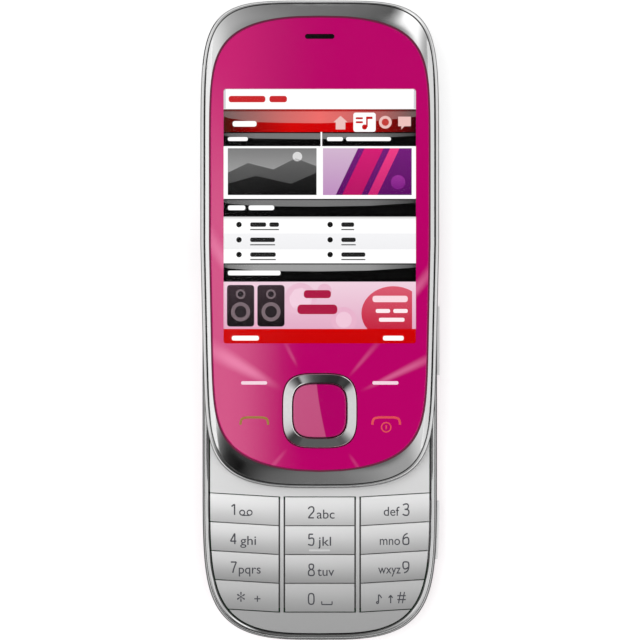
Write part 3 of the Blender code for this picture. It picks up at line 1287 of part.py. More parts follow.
def slide_spring():
    """A bow of wire from the fixed pin to the moving one, which snaps the slide open and shut."""
    start = Vector((SPRING_PIN_X, SPRING_PIN_Y))
    end = Vector((-SPRING_PIN_X, SPRING_PIN_Y + SLIDE_TRAVEL / 2))
    chord = end - start
    outward = Vector((chord.y, -chord.x)).normalized()
    bow = ((chord.length / 2) ** 2 + SPRING_BOW ** 2) / (2 * SPRING_BOW)
    centre = (start + end) / 2 + outward * (SPRING_BOW - bow)
    eye = SPRING_PIN_RADIUS + POCKET_GAP + SPRING_WIRE_RADIUS
    first = math.atan2(start.y - centre.y, start.x - centre.x)
    last = math.atan2(end.y - centre.y, end.x - centre.x)
    sweep = math.tau * SPRING_EYE_SHARE
    arcs = (
        (start, eye, first - sweep, first, SPRING_EYE_STEPS),
        (centre, bow + eye, first, last, SPRING_BOW_STEPS),
        (end, eye, last, last + sweep, SPRING_EYE_STEPS),
    )
    height = (WEB_TOP + MOVING_PLATE_BOTTOM) / 2
    path = []
    for middle, radius, low, high, steps in arcs:
        for step in range(steps + 1):
            angle = low + (high - low) * step / steps
            point = middle + Vector((math.cos(angle), math.sin(angle))) * radius
            if not path or (point - path[-1]).length > WELD:
                path.append(point)
    spring = wire([(x, y, height) for x, y in path], SPRING_WIRE_RADIUS)
    part("slide_spring", spring, SHEET_STEEL, BASE)


def display_flex():
    """The ribbon from the main board to the screen, folded back on itself between the plates."""
    lift = (FLEX_THICKNESS + FIT_GAP) / 2
    low = WEB_TOP + lift
    high = MOVING_PLATE_BOTTOM - lift
    foot = BOARD_TOP + lift
    end = MOVING_PLATE_TOP + LCD_GAP / 2
    fold_y = FLEX_Y - FLEX_LOWER_RUN
    lift_y = fold_y + FLEX_UPPER_RUN
    corners = [
        (FLEX_Y + FLEX_TAIL, foot),
        (FLEX_Y, foot),
        (FLEX_Y, low),
        (fold_y, low),
        (fold_y, high),
        (lift_y, high),
        (lift_y, end),
        (lift_y + FLEX_TAIL, end),
    ]
    fold = (high - low) / 2
    radii = (FLEX_BEND, FLEX_BEND, fold, fold, FLEX_BEND, FLEX_BEND)
    path = bent(corners, radii, FLEX_BEND_STEPS)
    ribbon = bar_along_x(strip_outline(path, FLEX_THICKNESS), -FLEX_WIDTH / 2, FLEX_WIDTH / 2)
    part("display_flex", ribbon, FLEX_FILM, BASE)


def display_frame():
    """The tray of the display half, with a pocket in its floor for the slide."""
    rings = []
    for inward, up in DISPLAY_BAND_SHARES:
        ring = body_outline(inward * DISPLAY_BOTTOM_INSET)
        rings.append((ring, DISPLAY_BOTTOM + up * DISPLAY_BAND_HEIGHT))
    inner = body_outline(DISPLAY_WALL)
    rings.append((inner, DISPLAY_BAND_TOP - FIT_GAP))
    rings.append((inner, FLOOR_TOP))
    frame = part("display_frame", loft(rings), SATIN_SILVER, DISPLAY)
    half = RAIL_OUTER + RUNNING_GAP
    low = (-half, POCKET_BOTTOM, DISPLAY_BOTTOM - OVERRUN)
    cut(frame, "slide_pocket", box(low, (half, POCKET_TOP, FLOOR_TOP + OVERRUN)))


def bezel():
    """The sloping silver frame round the face, with a ledge that carries the face."""
    skirt = DISPLAY_WALL + GROOVE
    start = body_outline(skirt + BEZEL_ROUND)
    crest = face_outline(0)
    slope_low = DISPLAY_BAND_TOP
    middle = (slope_low + BEZEL_CREST) / 2 + BEZEL_BULGE
    ledge = face_outline(LEDGE_WIDTH)
    inner = body_outline(skirt + BEZEL_SKIRT)
    rings = [
        (body_outline(skirt), FLOOR_TOP + FIT_GAP),
        (body_outline(skirt), slope_low - BEZEL_ROUND),
        (start, slope_low),
        (between(start, crest, 1 / 2), middle),
        (crest, BEZEL_CREST),
        (crest, LEDGE_TOP),
        (ledge, LEDGE_TOP),
        (ledge, LEDGE_TOP - LEDGE_THICKNESS),
        (inner, LEDGE_TOP - 2 * LEDGE_THICKNESS),
        (inner, FLOOR_TOP + FIT_GAP),
    ]
    part("bezel", loft(rings, closed=True), BRIGHT_CHROME, DISPLAY)


def front_face():
    """The glossy pink face, open at the screen, the navigation ring and the earpiece."""
    edge = face_outline(FIT_GAP)
    rings = [
        (edge, FACE_BOTTOM),
        (edge, FACE_TOP - FACE_CHAMFER),
        (face_outline(FIT_GAP + FACE_CHAMFER), FACE_TOP),
    ]
    face = part("front_face", loft(rings), GLOSS_PINK, DISPLAY)
    low = FACE_BOTTOM - OVERRUN
    high = FACE_TOP + OVERRUN
    cut(face, "screen", plate([screen_outline(0)], low, high))
    cut(face, "navigation", plate([squircle(NAV_HALF + NAV_HOLE_GAP, NAV_Y)], low, high))
    cut(face, "earpiece", plate([earpiece_slot(0)], low, high))


def screen_outline(inset):
    half_width = SCREEN_HALF_WIDTH - inset
    half_length = SCREEN_LENGTH / 2 - inset
    return rounded_rectangle((0, SCREEN_Y), half_width, half_length, SCREEN_CORNER, SCREEN_CORNER_STEPS)


def earpiece_slot(inset):
    half_length = EARPIECE_SLOT_LENGTH / 2 - inset
    half_width = EARPIECE_SLOT_WIDTH / 2 - inset
    return rounded_rectangle((0, EARPIECE_Y), half_length, half_width, half_width, SCREEN_CORNER_STEPS)


def screen():
    """The clear window and the display module behind it."""
    window = plate([screen_outline(FIT_GAP)], WINDOW_BOTTOM, FACE_TOP)
    part("display_window", window, CLEAR_PLASTIC, DISPLAY)
    half = SCREEN_HALF_WIDTH + LCD_SIDE
    low = (-half, LCD_LOW, LCD_BOTTOM)
    module = box(low, (half, SCREEN_HIGH + LCD_TOP_MARGIN, LCD_TOP), SCREEN_CORNER)
    part("lcd_module", module, LCD_FACE, DISPLAY)


def lower_boards():
    """The key board under the lower face, the touch film and the rubber under the ring."""
    area = part_of(face_outline(UI_BOARD_INSET), LCD_LOW - UI_BOARD_MARGIN, -1)
    part("ui_board", plate([area], UI_BOARD_BOTTOM, UI_BOARD_TOP), BOARD, DISPLAY)
    mat = centred_box((0, NAV_Y), (2 * UI_MAT_HALF, 2 * UI_MAT_HALF), UI_MAT_BOTTOM, UI_MAT_TOP)
    part("ui_keymat", mat, RUBBER, DISPLAY)
    area = part_of(face_outline(TOUCH_FILM_INSET), LCD_LOW - UI_BOARD_MARGIN, -1)
    hole = squircle(NAV_HALF + NAV_HOLE_GAP + TOUCH_FILM_HOLE, NAV_Y)
    top = FACE_BOTTOM - TOUCH_FILM_GAP
    part("touch_film", plate([area, hole], top - TOUCH_FILM_THICKNESS, top), FLEX_FILM, DISPLAY)


def navigation():
    """The rocking pad, the chrome ring on it and the select key in the middle."""
    pivot = carrier("nav_pivot", (0, NAV_Y, NAV_PIVOT), DISPLAY)
    area = squircle(NAV_HALF - NAV_PAD_INSET, 0)
    pad = plate([area], NAV_PAD_BOTTOM - NAV_PIVOT, NAV_PAD_TOP - NAV_PIVOT)
    nav_pad = part("nav_pad", pad, DARK_PLASTIC, pivot)
    low = (0, 0, NAV_PAD_BOTTOM - NAV_PIVOT - OVERRUN)
    cut(nav_pad, "stem_hole", rod(low, STEM_HOLE_RADIUS, NAV_PAD_THICKNESS + 2 * OVERRUN))
    rings = [(squircle(NAV_HALF, 0), NAV_BOTTOM - NAV_PIVOT)]
    for inward, up in NAV_RING_SHARES:
        ring = squircle(NAV_HALF - inward * NAV_RING_WIDTH, 0)
        rings.append((ring, NAV_BOTTOM - NAV_PIVOT + up * (NAV_TOP - NAV_BOTTOM)))
    rings.append((squircle(NAV_HALF - NAV_RING_WIDTH, 0), NAV_BOTTOM - NAV_PIVOT))
    part("nav_ring", loft(rings, closed=True), BRIGHT_CHROME, pivot)
    half = NAV_HALF - NAV_RING_WIDTH - RUNNING_GAP
    bottom = NAV_BOTTOM + SELECT_LIFT
    rings = [
        (squircle(half, NAV_Y), bottom),
        (squircle(half, NAV_Y), SELECT_TOP - SELECT_EDGE),
        (squircle(half - SELECT_EDGE, NAV_Y), SELECT_TOP),
    ]
    select = part("select_key", loft(rings), GLOSS_PINK, DISPLAY, (0, NAV_Y, bottom))
    foot = (0, NAV_Y, SELECT_STEM_BOTTOM)
    length = bottom + SELECT_EDGE - SELECT_STEM_BOTTOM
    join(select, "stem", rod(foot, SELECT_STEM_RADIUS, length, "Z", SMALL_ROUND_SIDES))


def earpiece():
    """The earpiece capsule, and the fine grille in its slot."""
    size = (EARPIECE_LENGTH, EARPIECE_WIDTH)
    top = FACE_BOTTOM - RUNNING_GAP
    capsule = centred_box((0, EARPIECE_Y), size, LCD_BOTTOM, top, EARPIECE_EDGE)
    piece = part("earpiece", capsule, SHEET_STEEL, DISPLAY)
    mouth = plate([earpiece_slot(0)], top - EARPIECE_MOUTH_DEPTH, top + OVERRUN)
    cut(piece, "mouth", mouth)
    outlines = [earpiece_slot(FIT_GAP)]
    for i in range(GRILLE_HOLES):
        x = (i - (GRILLE_HOLES - 1) / 2) * GRILLE_HOLE_PITCH
        outlines.append(circle(x, EARPIECE_Y, GRILLE_HOLE_RADIUS, SMALL_ROUND_SIDES // 2))
    top = FACE_TOP - GRILLE_RECESS
    part("earpiece_grille", plate(outlines, top - GRILLE_THICKNESS, top), SHEET_STEEL, DISPLAY)


covers()
base_frame()
rear_frame()
battery()
main_board()
board_shield()
card_holders()
loudspeaker()
camera()
vibration_motor()
sockets()
microphone()
keypad_fascia()
key_layers()
keys()
side_keys()
screws()
slide_fixed_plate()
slide_moving_plate()
slide_spring()
display_flex()
display_frame()
bezel()
front_face()
screen()
lower_boards()
navigation()
earpiece()
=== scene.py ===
"""The slider phone's looks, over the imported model: finishes, screen, legends, light and camera.

Lengths are in metres. Each half's pieces are drawn round that half's own centre, as in the part.
"""

import math

import bmesh
import bpy
from mathutils import Matrix, Vector

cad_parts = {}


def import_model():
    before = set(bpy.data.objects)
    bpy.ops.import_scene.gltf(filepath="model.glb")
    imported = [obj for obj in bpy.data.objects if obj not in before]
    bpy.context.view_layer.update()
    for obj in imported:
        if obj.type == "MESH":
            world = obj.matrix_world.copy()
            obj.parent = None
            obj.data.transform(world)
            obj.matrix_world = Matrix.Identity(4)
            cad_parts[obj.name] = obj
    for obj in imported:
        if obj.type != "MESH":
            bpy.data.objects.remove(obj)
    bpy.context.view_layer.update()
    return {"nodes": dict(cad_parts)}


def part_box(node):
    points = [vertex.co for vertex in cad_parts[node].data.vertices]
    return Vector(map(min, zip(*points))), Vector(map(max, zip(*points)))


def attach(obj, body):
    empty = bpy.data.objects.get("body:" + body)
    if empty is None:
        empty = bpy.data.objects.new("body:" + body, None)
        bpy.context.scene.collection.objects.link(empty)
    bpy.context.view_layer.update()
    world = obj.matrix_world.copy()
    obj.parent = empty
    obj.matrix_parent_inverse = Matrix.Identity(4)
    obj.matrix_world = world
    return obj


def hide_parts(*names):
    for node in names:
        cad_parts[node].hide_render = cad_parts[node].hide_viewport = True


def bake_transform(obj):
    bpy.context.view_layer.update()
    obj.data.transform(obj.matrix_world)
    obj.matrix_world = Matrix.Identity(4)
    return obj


# The part's own sizes
BODY_WIDTH = 0.048
BODY_LENGTH = 0.098
SLIDE_TRAVEL = 0.0314
TOP_END_POWERS = (4.5, 8.5)
BOTTOM_END_POWERS = (3.24, 7.23)
OUTLINE_STEPS = 56
NAV_STEPS = 32
# How far out an outline's point is looked for, and how often that stretch is halved
REACH_LIMIT = 2
HALVINGS = 34
ROUND_SIDES = 48
CORNER_STEPS = 6
FIT_GAP = 0.0001
POCKET_GAP = 0.00015
OVERRUN = 0.002
ROUND_PATH_STEPS = 16
DISC_STEPS = 28
WELD = 0.000001

BACK_SKIN = 0.0009
BACK_DEPTH = 0.003
BACK_ROUNDING = 0.0032
BACK_TOP_INSET = 0.00045
COVER_SPLIT_FROM_TOP = 0.027
COVER_SEAM = 0.00015
SPEAKER_SLOT = (0.006, 0.0007)
SPEAKER_SLOT_PITCH = 0.0014
SPEAKER_SLOTS = 4
SPEAKER_PLACE = (-0.01125, 0.0288)
CAMERA_FROM_TOP = 0.0135
CAMERA_RING_RADIUS = 0.0043

BASE_WALL = 0.00125
BAND_INSET = 0.0001
RIM_WALL = 0.00155
RIM_FOOT = 0.0077
RIM_CREST_INSET = 0.0009
RIM_DROP = 0.0005
RIM_PROUD = 0.00018
NOSE_BACK_FROM_TOP = 0.0032
NOSE_HOLES = ((0.01225, 0.0042, 0.0023), (-0.0125, 0.0040, 0.0015))
DATA_SOCKET_Y = 0.0297
DATA_SOCKET_HALF = 0.0039
DATA_SOCKET_LEVELS = (0.00305, 0.00565)
MICROPHONE_HOLE = (0.006, 0.0045, 0.0005)
SIDE_KEY_LEVELS = (0.0040, 0.0060)
SIDE_KEY_STEPS = 12
SIDE_KEYS = ((-0.0266, 0.0118), (0.012, 0.014))

KEY_ROW_PITCH = 0.00583
KEYPAD_BOTTOM = -0.04295
KEY_ROWS = 4
KEY_GAP = 0.0002
KEY_BOTTOM = 0.00747
KEY_TOP = 0.00832
KEY_CROWN = 0.00016
KEY_CROWN_STEPS = 12
KEY_EDGE = 0.00009
MIDDLE_KEY_HALF = 0.0070
STRIP_START = 0.00733
STRIP_WIDTH = 0.00069
OUTER_KEY_START = 0.00835
KEY_SLANT = 0.00083
DECK_INSET = 0.0018
FASCIA_BOTTOM = 0.00752
FASCIA_TOP = 0.00822
FLEX_SLOT = (0.0084, 0.0008)
FLEX_Y = 0.036

DISPLAY_END_POWERS = (3.1, 9.5)
DISPLAY_TAPER_SHARE = 0.0475
DISPLAY_BOTTOM = 0.0086
DISPLAY_BOTTOM_INSET = 0.0010
DISPLAY_BAND_HEIGHT = 0.0040
DISPLAY_WALL = 0.00074
FLOOR_TOP = 0.0099
POCKET_HALF = 0.0154
POCKET_LOW = -0.0438
POCKET_HIGH = 0.0424
GROOVE = 0.00011
BEZEL_ROUND = 0.00006
BEZEL_SKIRT = 0.0007
BEZEL_BULGE = 0.00012
BEZEL_STEPS = 8
BEZEL_CREST = 0.0143
LEDGE_WIDTH = 0.0006
LEDGE_THICKNESS = 0.0003
FACE_SIDE_INSET = 0.0020
FACE_END_INSET = 0.0036
FACE_TOP_POWERS = (2.5, 9.2)
FACE_BOTTOM_POWERS = (2.1, 9.6)
FACE_TAPER_SHARE = 0.04
FACE_TOP = 0.0142
FACE_BOTTOM = 0.0130
FACE_CHAMFER = 0.00016
# The dark ring round the face, whose colour is painted shade of the gap: how far out it reaches, its width
# and how far it lies below the face
GAP_SHADE_OUT = 0.00012
GAP_SHADE_WIDTH = 0.0002
GAP_SHADE_DROP = 0.00006
SCREEN_HALF_WIDTH = 0.0192
SCREEN_LENGTH = 0.0508
SCREEN_Y = 0.00553
SCREEN_CORNER = 0.0005
NAV_Y = -0.0333
NAV_HALF = 0.00738
NAV_POWERS = (3.5, 3.5)
NAV_RING_WIDTH = 0.00185
NAV_BOTTOM = 0.0131
NAV_TOP = 0.0148
NAV_HOLE_GAP = 0.00015
SELECT_GAP = 0.0002
SELECT_BOTTOM = 0.0134
SELECT_TOP = 0.0145
SELECT_EDGE = 0.0003
SELECT_STEM_RADIUS = 0.0013
SELECT_STEM_BOTTOM = 0.01255
EARPIECE_Y = 0.0414
EARPIECE_SLOT = (0.0059, 0.0010)

# Profiles: how far inward and how far up each ring of a loft lies
BACK_PROFILE_SHARES = (
    (1, 0), (0.8, 0.03), (0.69, 0.08), (0.5, 0.17), (0.375, 0.3), (0.27, 0.45), (0.2, 0.63), (0, 1),
)
BASE_BAND_SHARES = (
    (0.58, 0), (0.3, 0.09), (0.13, 0.21), (0.03, 0.3), (0, 0.4), (0.03, 0.55), (0.13, 0.7), (0.26, 0.8),
    (0.4, 0.87), (0.54, 0.93), (0.6, 0.945), (0.68, 0.915), (0.74, 0.955), (0.84, 0.985), (1, 1),
)
RIM_INNER_SHARES = ((0.2, 0.05), (0.5, 0.3), (0.8, 0.65), (1, 1))
DISPLAY_BAND_SHARES = (
    (1, 0), (0.7, 0.02), (0.45, 0.08), (0.25, 0.18), (0.1, 0.32), (0.02, 0.45), (0, 0.6),
    (0.04, 0.73), (0.15, 0.84), (0.28, 0.91), (0.45, 0.96), (0.6, 0.99), (0.72, 1),
)
NAV_RING_SHARES = (
    (0, 0.6), (0.015, 0.74), (0.05, 0.83), (0.09, 0.862), (0.13, 0.868), (0.17, 0.875), (0.9, 0.989),
    (0.97, 1), (0.985, 0.997), (1, 0.97),
)
# Parts of a quarter turn at which a rounded upper edge has its rings
ROUND_TURN_SHARES = (0.35, 0.7, 1)

HALF_LENGTH = BODY_LENGTH / 2
HALF_WIDTH = BODY_WIDTH / 2
BASE_Y = -SLIDE_TRAVEL / 2
DISPLAY_Y = SLIDE_TRAVEL / 2
BASE_CREST = FASCIA_TOP + RIM_PROUD
KEYPAD_TOP = KEYPAD_BOTTOM + KEY_ROWS * KEY_ROW_PITCH
SCREEN_LOW = SCREEN_Y - SCREEN_LENGTH / 2
SLANT_SHARE = KEY_SLANT / (HALF_WIDTH - DECK_INSET - OUTER_KEY_START)

SMOOTH_ANGLE = math.radians(34)
BEVEL_ANGLE = math.radians(50)
BEVEL_STEPS = 2

# The curve between a picture's tones and light
TONE_FOOT = 0.04045
TONE_SLOPE = 12.92
TONE_OFFSET = 0.055
TONE_POWER = 2.4
# The part of a noise's range that a finish uses
NOISE_SHARES = (0.3, 0.7)
# Usual grain of a finish: fineness, and spread of its roughness and of its tone
GRAIN = 900
ROUGHNESS_SPREAD = 0.03
TONE_SPREAD_SHARE = 0.04
# How deep the grain is in moulded parts, in boards, and in sheet metal and labels
MOULDED_GRAIN = 0.000004
BOARD_GRAIN = 0.000003
SHEET_GRAIN = 0.000002


def linear(value):
    share = value / 255
    if share <= TONE_FOOT:
        return share / TONE_SLOPE
    return ((share + TONE_OFFSET) / (1 + TONE_OFFSET)) ** TONE_POWER


def ink(red, green, blue):
    """A colour as a picture shows it, from 0 to 255, as the shaders take it."""
    return (linear(red), linear(green), linear(blue), 1)


def grey(value):
    return ink(value, value, value)


# Finishes

def node(owner, kind, **settings):
    made = owner.node_tree.nodes.new(kind)
    for name, value in settings.items():
        setattr(made, name, value)
    return made


def feed(owner, socket, value):
    """Link an output to a socket, or set it to a number."""
    if isinstance(value, bpy.types.NodeSocket):
        owner.node_tree.links.new(value, socket)
    else:
        socket.default_value = value


def give(material, name, value):
    """Feed one of the finish's own sockets."""
    feed(material, material.node_tree.nodes["Principled BSDF"].inputs[name.replace("_", " ")], value)


def blank(name, colour, roughness, metallic=0, **more):
    """A material whose plain numbers sit on the shader's own sockets."""
    material = bpy.data.materials.new(name)
    material.use_nodes = True
    for socket, value in {"Base Color": colour, "Roughness": roughness, "Metallic": metallic, **more}.items():
        give(material, socket, value)
    return material


def fed(owner, made, *values):
    """A node's first output, once its first sockets are fed."""
    for socket, value in zip(made.inputs, values):
        feed(owner, socket, value)
    return made.outputs[0]


def sum_of(owner, operation, *values):
    return fed(owner, node(owner, "ShaderNodeMath", operation=operation), *values)


def ramped(owner, value, from_low, from_high, to_low, to_high, smooth=False):
    made = node(owner, "ShaderNodeMapRange", interpolation_type="SMOOTHSTEP" if smooth else "LINEAR")
    return fed(owner, made, value, from_low, from_high, to_low, to_high)


def mixed(material, share, first, second):
    made = node(material, "ShaderNodeMix", data_type="RGBA")
    feed(material, made.inputs[0], share)
    feed(material, made.inputs[6], first)
    feed(material, made.inputs[7], second)
    return made.outputs[2]


def object_place(material):
    return node(material, "ShaderNodeTexCoord").outputs["Object"]


def axes(material):
    """A point's three lengths from its piece's origin."""
    apart = node(material, "ShaderNodeSeparateXYZ")
    feed(material, apart.inputs[0], object_place(material))
    return apart.outputs


def noise(material, scale):
    made = node(material, "ShaderNodeTexNoise")
    feed(material, made.inputs["Vector"], object_place(material))
    feed(material, made.inputs["Scale"], scale)
    return made.outputs["Fac"]


def grained(material, scale, low, high):
    """An uneven number between two limits, from fine noise."""
    return ramped(material, noise(material, scale), *NOISE_SHARES, low, high)


def mesh_tone(material):
    """The colour that lies in the mesh."""
    return node(material, "ShaderNodeAttribute", attribute_name="tone").outputs["Color"]


def finished(
    name, colour, roughness, metallic=0, scale=GRAIN, spread=ROUGHNESS_SPREAD, bump=0,
    fade=TONE_SPREAD_SHARE, **more
):
    """A finish with its grain: uneven roughness, a faint bump and a slight change of tone."""
    material = blank(name, colour, roughness, metallic, **more)
    give(material, "Roughness", grained(material, scale, max(roughness - spread, 0), roughness + spread))
    darker = tuple(channel * (1 - fade) for channel in colour[:3]) + (1,)
    give(material, "Base Color", mixed(material, grained(material, 3 * scale, 0, 1), darker, colour))
    if bump:
        made = node(material, "ShaderNodeBump")
        feed(material, made.inputs["Distance"], bump)
        feed(material, made.inputs["Height"], noise(material, 2 * scale))
        give(material, "Normal", made.outputs["Normal"])
    return material


def painted(name, colour, roughness, metallic):
    """A metallic paint that takes its colour, with painted light and shade, from the mesh."""
    material = blank(name, colour, roughness, metallic)
    give(material, "Base Color", mesh_tone(material))
    return material


def lit(name, strength):
    """A lit picture, whose colours lie in the mesh."""
    material = bpy.data.materials.new(name)
    material.use_nodes = True
    nodes = material.node_tree.nodes
    nodes.remove(nodes["Principled BSDF"])
    glow = node(material, "ShaderNodeEmission")
    feed(material, glow.inputs["Strength"], strength)
    feed(material, glow.inputs["Color"], mesh_tone(material))
    feed(material, nodes["Material Output"].inputs["Surface"], glow.outputs[0])
    return material


PINK = ink(178, 3, 99)
# The face's pink where a painted reflection brightens its left side
PAINTED_REFLECTION_PINK = ink(190, 3, 104)
RAY_PINK = ink(246, 150, 190)
# Angle, half width as a share of the distance, strength, start and end of each ray from the ring's middle
RAYS = (
    (150.5, 0.11, 0.42, 0.0080, 0.024),
    (122.5, 0.055, 0.3, 0.0290, 0.042),
    (51.5, 0.045, 0.36, 0.0250, 0.035),
    (117.0, 0.045, 0.16, 0.0095, 0.0145),
    (49.5, 0.05, 0.17, 0.0085, 0.0165),
    (25.5, 0.055, 0.33, 0.0085, 0.024),
    (229.5, 0.05, 0.14, 0.0095, 0.016),
    (-56.0, 0.045, 0.1, 0.0100, 0.0145),
)


# Where a ray fades out, as shares of its end
RAY_FADE_SHARES = (0.8, 1.25)
# Across the face, where the painted reflection down its left side fades out
FACE_PAINTED_REFLECTION_SIDE = (-0.0195, -0.006)
FACE_ROUGHNESS = 0.04
FACE_GRAIN = (300, 0.03, 0.05)
SELECT_ROUGHNESS = 0.05
SELECT_GRAIN = (400, 0.04, 0.07)
# The edge of the middle key's painted reflection, a paler left side: start below the key's centre, then
# power, slope and offset
SELECT_REFLECTION_START = 0.0056
SELECT_REFLECTION_CURVE = (1.355, 0.8455, -0.00061)
SELECT_REFLECTION_BLUR = 0.00008
SELECT_REFLECTION_LENGTH = 0.011
# The middle key's own pink, and the two colours of its painted reflection
SELECT_DARK = ink(169, 3, 96)
SELECT_PAINTED_REFLECTION = (ink(188, 81, 125), ink(185, 78, 121))
# The bezel's chrome and its darker tone down the right side, which is painted shade; then where across that
# painted shade comes in
BEZEL_PAINTED_SHADE_TONES = (grey(222), grey(202))
BEZEL_PAINTED_SHADE_SIDE = (0.0195, 0.0215)
BEZEL_FINISH = (0.13, 1, 500, 0.03)


def rays_on(material):
    """How bright the printed rays round the navigation ring are at a point of the face."""
    across, along, _ = axes(material)
    along = sum_of(material, "SUBTRACT", along, NAV_Y)
    total = 0
    for angle, spread, strength, start, end in RAYS:
        cos = math.cos(math.radians(angle))
        sin = math.sin(math.radians(angle))
        out = sum_of(material, "MULTIPLY_ADD", across, cos, sum_of(material, "MULTIPLY", along, sin))
        side = sum_of(material, "MULTIPLY_ADD", across, -sin, sum_of(material, "MULTIPLY", along, cos))
        away = sum_of(material, "ABSOLUTE", side)
        share = sum_of(material, "DIVIDE", away, sum_of(material, "MAXIMUM", out, WELD))
        edge = ramped(material, share, 0, spread, 1, 0, True)
        rise = ramped(material, out, start, (start + end) / 2, 0, 1, True)
        fall = ramped(material, out, *(fade * end for fade in RAY_FADE_SHARES), 1, 0, True)
        bright = sum_of(material, "MULTIPLY", edge, sum_of(material, "MULTIPLY", rise, fall))
        total = sum_of(material, "MULTIPLY_ADD", bright, strength, total)
    return total


def pink_gloss():
    """The face's pink, a little brighter down its left side by a painted reflection, with the printed rays.
    """
    material = blank("pink_gloss", PINK, FACE_ROUGHNESS)
    side = ramped(material, axes(material)[0], *FACE_PAINTED_REFLECTION_SIDE, 1, 0, True)
    pink_with_painted_reflection = mixed(material, side, PINK, PAINTED_REFLECTION_PINK)
    give(material, "Base Color", mixed(material, rays_on(material), pink_with_painted_reflection, RAY_PINK))
    give(material, "Roughness", grained(material, *FACE_GRAIN))
    return material


def select_gloss():
    """The middle key's pink, with a painted reflection: a paler left side that ends in a curve."""
    material = blank("select_gloss", PINK, SELECT_ROUGHNESS)
    across, along, _ = axes(material)
    power, slope, offset = SELECT_REFLECTION_CURVE
    rise = sum_of(material, "SUBTRACT", NAV_Y + SELECT_REFLECTION_START, along)
    line = sum_of(material, "MULTIPLY_ADD", sum_of(material, "POWER", rise, power), slope, offset)
    side = sum_of(material, "SUBTRACT", across, line)
    share = ramped(material, side, -SELECT_REFLECTION_BLUR, SELECT_REFLECTION_BLUR, 1, 0)
    painted_reflection = mixed(material, ramped(material, rise, 0, SELECT_REFLECTION_LENGTH, 0, 1), *SELECT_PAINTED_REFLECTION)
    give(material, "Base Color", mixed(material, share, SELECT_DARK, painted_reflection))
    give(material, "Roughness", grained(material, *SELECT_GRAIN))
    return material


def bezel_chrome():
    """Satin chrome, a little darker down the right side by painted shade."""
    material = finished("bezel_chrome", BEZEL_PAINTED_SHADE_TONES[0], *BEZEL_FINISH)
    side = ramped(material, axes(material)[0], *BEZEL_PAINTED_SHADE_SIDE, 0, 1, True)
    give(material, "Base Color", mixed(material, side, *BEZEL_PAINTED_SHADE_TONES))
    return material


SCREEN_STRENGTH = 1.06

# Name, colour, roughness, metal, fineness of the grain, spread of the roughness, bump, spread of the tone
SILVER_BAND = finished("silver_band", grey(214), 0.16, 1, 500, 0.02, 0, 0.02, Specular_Tint=grey(60))
CHROME = bezel_chrome()
BRIGHT_CHROME = finished("bright_chrome", grey(236), 0.05, 1, 500, 0.02)
FACE_PINK = pink_gloss()
SELECT_PINK = select_gloss()
COVER_PINK = finished("cover_pink", ink(176, 20, 104), 0.3, 0, 2500, 0.05, MOULDED_GRAIN, 0.05)
# The deck and the keys take their silver, with painted light and shade, from their meshes
DECK_PAINT = painted("deck_paint", grey(215), 0.34, 0.25)
KEY_PAINT = painted("key_paint", grey(215), 0.3, 0.25)
SIDE_KEY = finished("side_key_silver", grey(232), 0.35, 0.1)
LEGEND_GREY = finished("legend_grey", ink(64, 64, 70), 0.5)
KEY_BAR = finished("key_bar", grey(206), 0.35, 0.2)
BLACK_GLOSS = finished("black_gloss", grey(9), 0.12)
# Darkened pink for the ring round the face: painted shade of the gap between face and bezel
FACE_GAP_SHADE = finished("face_gap_shade", ink(104, 9, 56), 0.5)
DARK_PLASTIC = finished("dark_plastic", grey(48), 0.5, 0, 2500, 0.08, MOULDED_GRAIN)
RUBBER = finished("grey_rubber", grey(112), 0.7, 0, 2500, 0.08, MOULDED_GRAIN)
BOARD_GREEN = finished("board_green", ink(22, 88, 48), 0.4, 0, 600, 0.06, BOARD_GRAIN, 0.15)
STEEL = finished("sheet_steel", grey(178), 0.34, 1, 1800, 0.08, SHEET_GRAIN)
SPRING_STEEL = finished("spring_steel", grey(170), 0.25, 1, 1800, 0.05)
BATTERY_SKIN = finished("battery_skin", grey(96), 0.45, 0.2, 1500, 0.05, SHEET_GRAIN)
FLEX_FILM = finished("flex_film", ink(190, 112, 40), 0.3, 0, 800, 0.05, 0, 0.1)
LCD_BACK = finished("screen_module", grey(235), 0.35)
CLEAR = blank("clear_window", (1, 1, 1, 1), 0.0, Transmission_Weight=1, Specular_IOR_Level=0.3, IOR=1.1)
BAR_WHITE = finished("print_white", ink(236, 205, 218), 0.35)
SEND_GREEN = finished("print_olive", ink(148, 112, 44), 0.35)
END_RED = finished("print_red", ink(214, 62, 70), 0.35)
LIT_SCREEN = lit("lit_screen", SCREEN_STRENGTH)


# Shapes

def done(shape):
    bmesh.ops.recalc_face_normals(shape, faces=shape.faces)
    mesh = bpy.data.meshes.new("shape")
    shape.to_mesh(mesh)
    shape.free()
    return mesh


def linked(name, data):
    """A new object in the scene."""
    made = bpy.data.objects.new(name, data)
    bpy.context.scene.collection.objects.link(made)
    return made


def evaluated_mesh(guide):
    """The mesh of an object with its modifiers, or of a curve or text. The object goes."""
    bpy.context.view_layer.update()
    graph = bpy.context.evaluated_depsgraph_get()
    mesh = bpy.data.meshes.new_from_object(guide.evaluated_get(graph))
    bpy.data.objects.remove(guide, do_unlink=True)
    shape = bmesh.new()
    shape.from_mesh(mesh)
    bpy.data.meshes.remove(mesh)
    bmesh.ops.remove_doubles(shape, verts=shape.verts, dist=WELD)
    return done(shape)


def carved(mesh, operation, *tools):
    """A mesh cut, joined or kept with others, one after the other."""
    others = [linked("tool", tool) for tool in tools]
    solid = linked("solid", mesh)
    for other in others:
        modifier = solid.modifiers.new("carve", "BOOLEAN")
        modifier.operation = operation
        modifier.solver = "EXACT"
        modifier.object = other
    made = evaluated_mesh(solid)
    for other in others:
        bpy.data.objects.remove(other, do_unlink=True)
    return made


